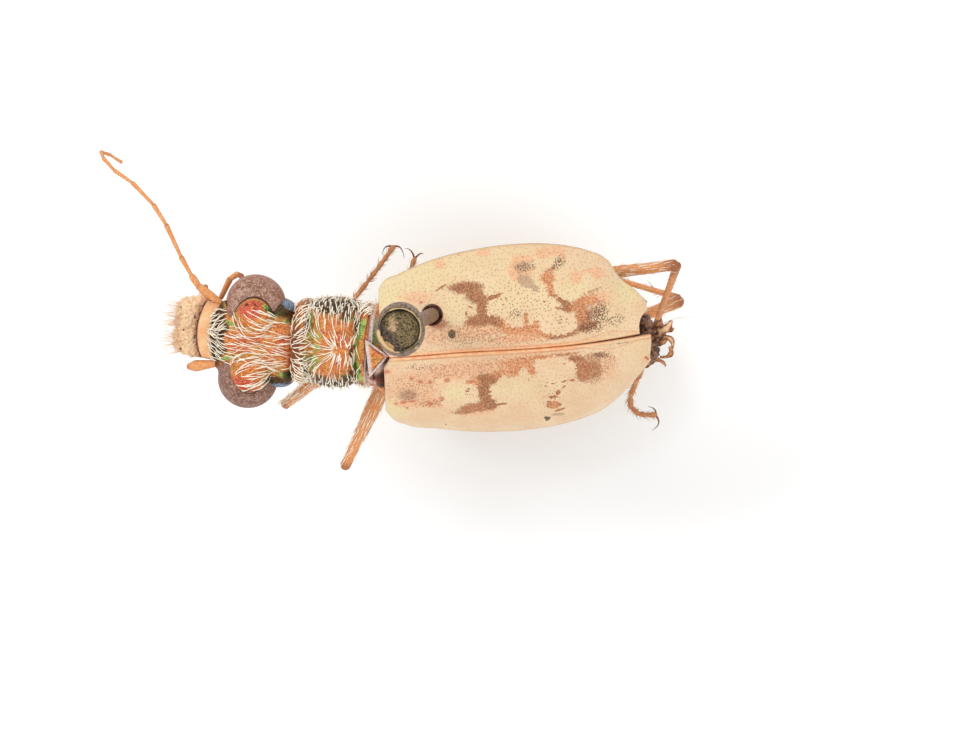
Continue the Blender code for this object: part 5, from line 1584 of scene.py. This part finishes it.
# How thick a thigh and a shin are along their lengths, and where the joints of a foot lie
thigh_swell = (0.75, 0.95, 1.0, 0.97, 0.9, 0.82, 0.74, 0.68, 0.72)
shin_swell = (1.15, 0.92, 0.88, 0.86, 0.86, 0.92, 1.05)
foot_shares = (0.0, 0.34, 0.56, 0.72, 0.84, 1.0)
leg_parts = {}
for name, leg in legs.items():
    thick, knee, shin_girth, foot_girth = leg["girth"]
    hip = np.array(leg["hip"])
    routes = [[(*hip, 0.26), (*(hip - (0, 0, 0.22)), 0.27), (*leg["thigh"][0], 0.2)]]
    thigh = spaced(leg["thigh"], np.linspace(0, 1, len(thigh_swell)))
    swollen = [
        thick * share + (knee - thick * thigh_swell[-1]) * max(0, k - 3) / 5
        for k, share in enumerate(thigh_swell)
    ]
    routes.append([(*place, radius) for place, radius in zip(thigh, swollen)])
    shin = spaced(leg["shin"], np.linspace(0, 1, len(shin_swell)))
    routes.append([(*place, shin_girth * share) for place, share in zip(shin, shin_swell)])
    foot = spaced(leg["foot"], foot_shares)
    for near, far in zip(foot, foot[1:]):
        routes.append([
            (*(near + (far - near) * share), foot_girth * girth)
            for share, girth in ((0.06, 0.72), (0.35, 0.9), (0.8, 1.12), (0.97, 1.0))
        ])
    heading = shin[-1] - shin[-2]
    heading = heading / np.linalg.norm(heading)
    for aside in (0.5, -0.5):
        spur = heading + aside * np.cross(heading, (0, 0, 1.0))
        routes.append([
            (*(shin[-1] + spur * reach), girth)
            for reach, girth in ((0.02, 0.022), (0.12, 0.016), (0.24, 0.004))
        ])
    limb = tubes("leg_" + name, routes)
    # Each leg is painted darker below the start of its foot
    jointed(limb, 0.10, 0.9, 0.40 * (points_of(limb)[:, 2] < foot[0][2] - 0.03))
    settle(limb, amber_chitin)
    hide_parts(*("%s_%s" % (bone, name) for bone in ("coxa", "femur", "tibia", "tarsus")))
    claw_routes = []
    for middle, end in np.array(leg["claws"]):
        claw_routes.append([
            (*(foot[-1] + 3.2 * t * (1 - t) * middle + t * t * end), 0.026 * (1 - 0.85 * t))
            for t in np.linspace(0, 1, 9)
        ])
    claws = tubes("claws_" + name, claw_routes, 10, 0.012)
    settle(claws, dark_claw)
    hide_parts("tarsus_" + name)
    leg_parts[name] = (thigh, swollen, shin, shin_girth, foot, foot_girth)


# Setae.
# White bristles, each a fibre drawn out to a point. They are combed back over the head, spread like a fan
# and a star over the prothorax, and lie thickly on its flanks.
chance = random.Random(1887)
ROOT_DEPTH = 0.012
HAIR_JOINTS = 6


def scattered(left, right, low, high, gap):
    """Points spread evenly over a rectangle, each nudged off its grid."""
    for x in np.arange(left, right, gap):
        for y in np.arange(low, high, gap):
            yield x + chance.uniform(-0.45, 0.45) * gap, y + chance.uniform(-0.45, 0.45) * gap


def lying(here, normal, joint, lift=0.03):
    """A joint of a hair that lies on a skin, lifted most past its middle."""
    return here + normal * (0.008 + lift * math.sin(2.4 * joint / HAIR_JOINTS))


def combed(skin, spots, comb, length, lift=0.03):
    """Hairs that lie over a skin. comb gives each root's heading from above and its turn, in degrees."""
    hairs = []
    for x, y in spots:
        here, normal, _, _ = skin.ray_cast(Vector((x, y, 3)), Vector((0, 0, -1)))
        if here is None:
            continue
        heading, turn = comb(x, y)
        heading = math.radians(heading + chance.gauss(0, 8))
        turn = math.radians(turn + chance.gauss(0, 14)) / HAIR_JOINTS
        reach = chance.uniform(*length) / HAIR_JOINTS
        hair = [here - normal * ROOT_DEPTH]
        for joint in range(1, HAIR_JOINTS + 1):
            step = Vector((math.cos(heading), math.sin(heading), 0))
            step = (step - normal * step.dot(normal)).normalized()
            there = here + step * reach
            found, facing, _, _ = skin.ray_cast(there + Vector((0, 0, 0.3)), Vector((0, 0, -1)), 0.55)
            if found is not None:
                there, normal = found, facing
            else:
                there = there - Vector((0, 0, 0.25 * reach))
            here = there
            heading += turn
            hair.append(lying(here, normal, joint, lift))
        hairs.append(hair)
    return hairs


def standing(roots, leaning, length, fall=(0, 0, -0.5), joints=HAIR_JOINTS):
    """Hairs that stand off a skin at each root and its normal, lean one way and droop."""
    hairs = []
    for root, normal in roots:
        aim_at = (normal + Vector(leaning) + Vector([chance.gauss(0, 0.18) for _ in range(3)])).normalized()
        reach = chance.uniform(*length) / joints
        here = root - normal * ROOT_DEPTH
        hair = [here]
        for _ in range(joints):
            here = here + aim_at * reach
            aim_at = (aim_at + Vector(fall) / joints).normalized()
            hair.append(here)
        hairs.append(hair)
    return hairs


def wrapped(skin, roots, leaning, length):
    """Hairs that follow a skin from each root over its edge, all in one general direction."""
    hairs = []
    for here, normal in roots:
        aim_at = Vector(leaning) + Vector([chance.gauss(0, 0.13) for _ in range(3)])
        reach = chance.uniform(*length) / HAIR_JOINTS
        hair = [here - normal * ROOT_DEPTH]
        for joint in range(1, HAIR_JOINTS + 1):
            step = (aim_at - normal * aim_at.dot(normal)).normalized()
            here, normal, _, _ = skin.find_nearest(here + step * reach)
            hair.append(lying(here, normal, joint))
        hairs.append(hair)
    return hairs


def flanks(skin, side, left, right, low, high, gap):
    """Roots on one side of a body, found by looking at it level from that side."""
    for x, z in scattered(left, right, low, high, gap):
        root, normal, _, _ = skin.ray_cast(Vector((x, 3 * side, z)), Vector((0, -side, 0)))
        if root is not None:
            yield root, normal


def setae(name, hairs, girth, finish, unwrap, axes=Matrix.Identity(4)):
    """One mesh of closed three-sided hairs. Each takes a small patch of the bake map, where its root is."""
    hairs = np.array([[tuple(place) for place in hair] for hair in hairs])
    count, joints = hairs.shape[:2]
    run = np.gradient(hairs, axis=1)
    run /= np.linalg.norm(run, axis=2, keepdims=True)
    aside = np.cross(run, (0.11, 0.07, 1.0))
    aside /= np.linalg.norm(aside, axis=2, keepdims=True)
    over = np.cross(aside, run)
    taper = np.clip(np.linspace(1.35, 0.25, joints - 1), 0, 1) ** 0.8
    wide = girth * np.array([chance.uniform(0.75, 1.2) for _ in range(count)])
    turns = np.radians((90, 210, 330))
    round_it = np.cos(turns)[:, None] * aside[:, :-1, None] + np.sin(turns)[:, None] * over[:, :-1, None]
    rings = hairs[:, :-1, None] + round_it * (wide[:, None] * taper)[:, :, None, None]
    each = 3 * (joints - 1) + 1
    vertices = np.concatenate((rings.reshape(count, -1, 3), hairs[:, -1:]), 1).reshape(-1, 3)
    quads = [
        (3 * k + s, 3 * k + (s + 1) % 3, 3 * k + 3 + (s + 1) % 3, 3 * k + 3 + s)
        for k in range(joints - 2)
        for s in range(3)
    ]
    tips = [(each - 4 + s, each - 4 + (s + 1) % 3, each - 1) for s in range(3)] + [(2, 1, 0)]
    starts = (np.arange(count) * each)[:, None, None]
    faces = (np.array(quads) + starts).reshape(-1, 4).tolist()
    faces += (np.array(tips) + starts).reshape(-1, 3).tolist()
    piece = shape(name, vertices, faces)
    corner = np.zeros(len(piece.data.loops), int)
    piece.data.loops.foreach_get("vertex_index", corner)
    home = np.array([unwrap(*hair[0]) for hair in hairs])[corner // each]
    within = np.stack((corner % each % 3 / 3, corner % each / each), -1)
    layer = piece.data.uv_layers.new(name="OFBake")
    layer.data.foreach_set("uv", (home + 0.003 * within).astype(np.float32).ravel())
    settle(piece, finish, axes=axes)


def body_unwrap(start, end, height):
    """The unwrap of a body as a sleeve: along it, and round its axis."""
    def unwrap(x, y, z):
        turn = math.atan2(z - height, y) / math.tau + 0.5
        return 0.04 + 0.9 * (x - start) / (end - start), 0.05 + 0.9 * turn
    return unwrap


white_seta, paint = start_finish("white_seta")
surface(white_seta, {
    "Base Color": paint.speckle(0.25).step(0.35, 0.7).mix((1.0, 0.93, 0.78, 1), (0.95, 0.80, 0.60, 1)),
    # A weak glow: painted light that brightens the hairs
    "Emission Color": (1.0, 0.88, 0.68, 1),
    "Emission Strength": 0.08,
    "Roughness": 0.42,
    "Specular IOR Level": 0.45,
    "Subsurface Weight": 0.2,
    "Subsurface Radius": (1.0, 0.9, 0.8),
    "Subsurface Scale": 0.03 * MM,
})


def over_head(x, y):
    """Back over the head, drawn in from both sides."""
    side = 1 if y > 0.03 else -1
    outer = min(1, max(0, (abs(y - 0.03) - 0.22) / 0.4))
    front = min(1, max(0, (0.35 - x) / 0.8))
    heading = -side * outer * (10 + 28 * front) + side * (1 - outer) * 9 * (1 - front)
    return heading, side * outer * (10 + 12 * front)


head_unwrap = body_unwrap(-1.0, 1.3, -0.3)
head_hairs = []
# Where the roots are scattered, how they are combed, and the shortest and longest hair
for area, comb, length in (
    ((-0.52, 0.42, 0.34, 0.86, 0.138), over_head, (0.42, 0.62)),
    ((-0.56, 0.36, -0.92, -0.34, 0.138), over_head, (0.42, 0.62)),
    ((-0.66, 0.70, -0.32, 0.36, 0.140), over_head, (0.36, 0.56)),
    ((0.45, 0.85, -0.60, 0.62, 0.22), over_head, (0.22, 0.38)),
    ((0.02, 0.30, 0.84, 0.96, 0.12), lambda x, y: (-28, 14), (0.30, 0.45)),
    ((-0.12, 0.25, -1.04, -0.88, 0.11), lambda x, y: (22, 8), (0.34, 0.5)),
):
    head_hairs += combed(head_cover, scattered(*area), comb, length)
setae("head_setae", head_hairs, 0.0145, white_seta, head_unwrap, head_axes)

whiskers = combed(
    head_cover, scattered(-0.84, -0.50, -0.52, 0.74, 0.088),
    lambda x, y: (184 + 44 * math.sin(4 * (y - 0.1)) + chance.uniform(-18, 18), chance.uniform(-60, 20)),
    (0.22, 0.38), 0.05,
)
setae("face_setae", whiskers, 0.0138, white_seta, head_unwrap, head_axes)


def front_fan(x, y):
    """Back and outward, like an open fan."""
    y = y + 0.06
    if y > 0:
        return 20 + 34 * min(1, y / 0.5), -8
    return -12 - 22 * min(1, -y / 0.4), 6


def from_star(x, y):
    """Straight away from the middle of the disc."""
    return math.degrees(math.atan2(y - 0.03, x - 0.12)), 0


barrel_unwrap = body_unwrap(-1.1, 1.0, -0.9)
barrel_hairs = combed(barrel_cover, scattered(-0.99, -0.78, -0.84, 0.88, 0.086), front_fan, (0.30, 0.48))
star = [(0.10 + 0.09 * math.cos(turn), 0.03 + 0.09 * math.sin(turn)) for turn in np.linspace(1.9, 4.4, 15)]
barrel_hairs += combed(
    barrel_cover, star,
    lambda x, y: (math.degrees(math.atan2(y - 0.03, x - 0.10)), chance.uniform(-10, 10)), (0.26, 0.58),
)
barrel_hairs += combed(barrel_cover, scattered(-0.62, -0.22, -0.36, 0.36, 0.12), from_star, (0.2, 0.42))
for side in (1, -1):
    ridge = [(chance.uniform(0.04, 0.48), 0.04 + side * chance.uniform(0.0, 0.26)) for _ in range(17)]
    barrel_hairs += combed(
        barrel_cover, ridge,
        lambda x, y: (side * (chance.uniform(78, 128) - 60 * x), side * 12), (0.18, 0.36),
    )
for side, deepest, longest in ((1, -0.98, 0.40), (-1, -0.62, 0.46)):
    roots = flanks(barrel_cover, side, -0.68, 0.62, deepest, -0.14, 0.100)
    barrel_hairs += wrapped(barrel_cover, roots, (0.05, -0.7 * side, 1.0), (0.26, longest))
right_tuft = scattered(0.46, 0.80, 0.80, 0.94, 0.055)
barrel_hairs += combed(barrel_cover, right_tuft, lambda x, y: (38, 30), (0.2, 0.34))
left_tuft = scattered(0.56, 0.80, -0.92, -0.80, 0.055)
barrel_hairs += combed(barrel_cover, left_tuft, lambda x, y: (-50, -10), (0.16, 0.28))
setae("prothorax_setae", barrel_hairs, 0.0155, white_seta, barrel_unwrap, prothorax_axes)
fringe = []
for side in (1, -1):
    roots = list(flanks(barrel_cover, side, -0.92, 0.80, -1.5, -0.22, 0.150))
    fringe += standing(roots, (0.5, -0.2 * side, 0.6), (0.10, 0.18), (0, 0, 0.3))
setae("flank_setae", fringe, 0.0145, white_seta, barrel_unwrap, prothorax_axes)
belly_fringe = []
for side in (1, -1):
    roots = list(flanks(trunk_cover, side, -0.25, 2.5, -1.9, -0.9, 0.085))
    roots += list(flanks(trunk_cover, side, 2.5, 5.2, -1.7, -1.1, 0.16))
    belly_fringe += standing(roots, (0.9, 0, -0.2), (0.22, 0.40))
setae("underbody_setae", belly_fringe, 0.012, white_seta, body_unwrap(-0.6, 5.8, -1.3), hind_body)


# Bristles of the limbs and the mouth.
# White setae lie along the thighs. Thin stiff tan bristles stand on the shins and feet, pale fuzz and a
# beard of finer hairs on the caked jaws, and two long hairs at the tail.
tan_bristle, paint = start_finish("tan_bristle")
surface(tan_bristle, {
    "Base Color": paint.speckle(0.12).step(0.40, 0.62).mix(colour(206, 146, 104), colour(250, 220, 182)),
    "Roughness": 0.4,
})


def along_limb(places, radii, count, length, tilt):
    """Hairs rooted all round a limb, leaning to its far end by a tilt in degrees off the skin."""
    places = np.asarray(places, float)
    hairs = []
    for _ in range(count):
        share = chance.uniform(0.05, 0.98)
        here = spaced(places, (share, min(1, share + 0.02), max(0, share - 0.02)))
        run = Vector(here[1] - here[2]).normalized()
        aside = run.cross(Vector((0.1, 0.2, 1.0))).normalized()
        turn = chance.uniform(0, math.tau)
        normal = aside * math.cos(turn) + run.cross(aside) * math.sin(turn)
        radius = np.interp(share, np.linspace(0, 1, len(radii)), radii)
        lean = math.radians(tilt + chance.gauss(0, 5))
        aim_at = run * math.cos(lean) + normal * math.sin(lean)
        reach = chance.uniform(*length) / 5
        place = Vector(here[0]) + normal * (radius - 0.008)
        hair = [place]
        for _ in range(5):
            place = place + aim_at * reach
            aim_at = (aim_at + run * 0.06).normalized()
            hair.append(place)
        hairs.append(hair)
    return hairs


def limb_unwrap(start, end):
    """The unwrap of a limb as a sleeve round the line from its hip to its foot."""
    run = Vector(end) - Vector(start)

    def unwrap(x, y, z):
        place = Vector((x, y, z)) - Vector(start)
        turn = math.atan2(place.z, place.y) / math.tau + 0.5
        return 0.04 + 0.9 * min(1, max(0, place.dot(run) / run.dot(run))), 0.05 + 0.9 * turn
    return unwrap


for name, (thigh, swollen, shin, shin_girth, foot, foot_girth) in leg_parts.items():
    unwrap = limb_unwrap(thigh[0], foot[-1])
    coat = along_limb(thigh, swollen, 170, (0.20, 0.34), 8)
    setae("thigh_setae_" + name, coat, 0.0105, white_seta, unwrap)
    bristles = along_limb(shin, (shin_girth, shin_girth), 46, (0.12, 0.26), 38)
    bristles += along_limb(foot, (foot_girth, foot_girth), 130, (0.08, 0.20), 42)
    setae("bristles_" + name, bristles, 0.0055, tan_bristle, unwrap)

pale_fuzz, paint = start_finish("pale_fuzz")
surface(pale_fuzz, {
    "Base Color": paint.speckle(0.12).step(0.40, 0.62).mix(colour(240, 190, 146), colour(255, 232, 196)),
    # A weak glow: painted light that brightens the fuzz
    "Emission Color": (1.0, 0.78, 0.55, 1),
    "Emission Strength": 0.12,
    "Roughness": 0.5,
})
fuzz = []
for _ in range(1100):
    start = Vector((chance.uniform(-1.95, -1.28), chance.uniform(-0.72, 0.84), 0.5))
    root, normal, _, _ = jaw_cover.ray_cast(start, Vector((0, 0, -1)))
    if root is not None:
        fuzz.append((root, normal))
for height in np.arange(-0.75, -0.42, 0.05):
    for turn in np.arange(-70, 71, 3.0):
        heading = math.radians(180 + turn)
        level = Vector((math.cos(heading), math.sin(heading), 0))
        start = Vector((-1.3, 0.05, height + chance.uniform(-0.02, 0.02)))
        root, normal, _, _ = jaw_cover.ray_cast(start + level * 1.5, -level)
        if root is not None:
            fuzz.append((root, normal))
jaw_unwrap = body_unwrap(-2.4, 0.0, -0.6)
short = standing(fuzz, (-0.6, 0, -0.2), (0.04, 0.11), (-0.2, 0, -0.3), 5)
setae("jaw_fuzz", short, 0.0048, pale_fuzz, jaw_unwrap, head_axes)
longer = [spot for spot in fuzz if spot[0].x < -1.62 and chance.random() < 0.30]
beard = standing(longer, (-1.1, 0, 0), (0.22, 0.60), (0, 0, -0.2), 7)
setae("jaw_bristles", beard, 0.0044, pale_fuzz, jaw_unwrap, head_axes)

shares = np.linspace(0, 1, 9)
tail_hair = [
    [
        (6.15 + 0.85 * t, -0.05 + 0.10 * math.sin(3.2 * t) + 0.03 * t, -1.22 + 0.06 * math.sin(5 * t))
        for t in shares
    ],
    [(6.05 + 0.30 * t, 0.25 + 0.16 * t * t, -1.20) for t in shares],
]
setae("tail_hairs", tail_hair, 0.009, tan_bristle, body_unwrap(5.0, 7.2, -1.3), hind_body)
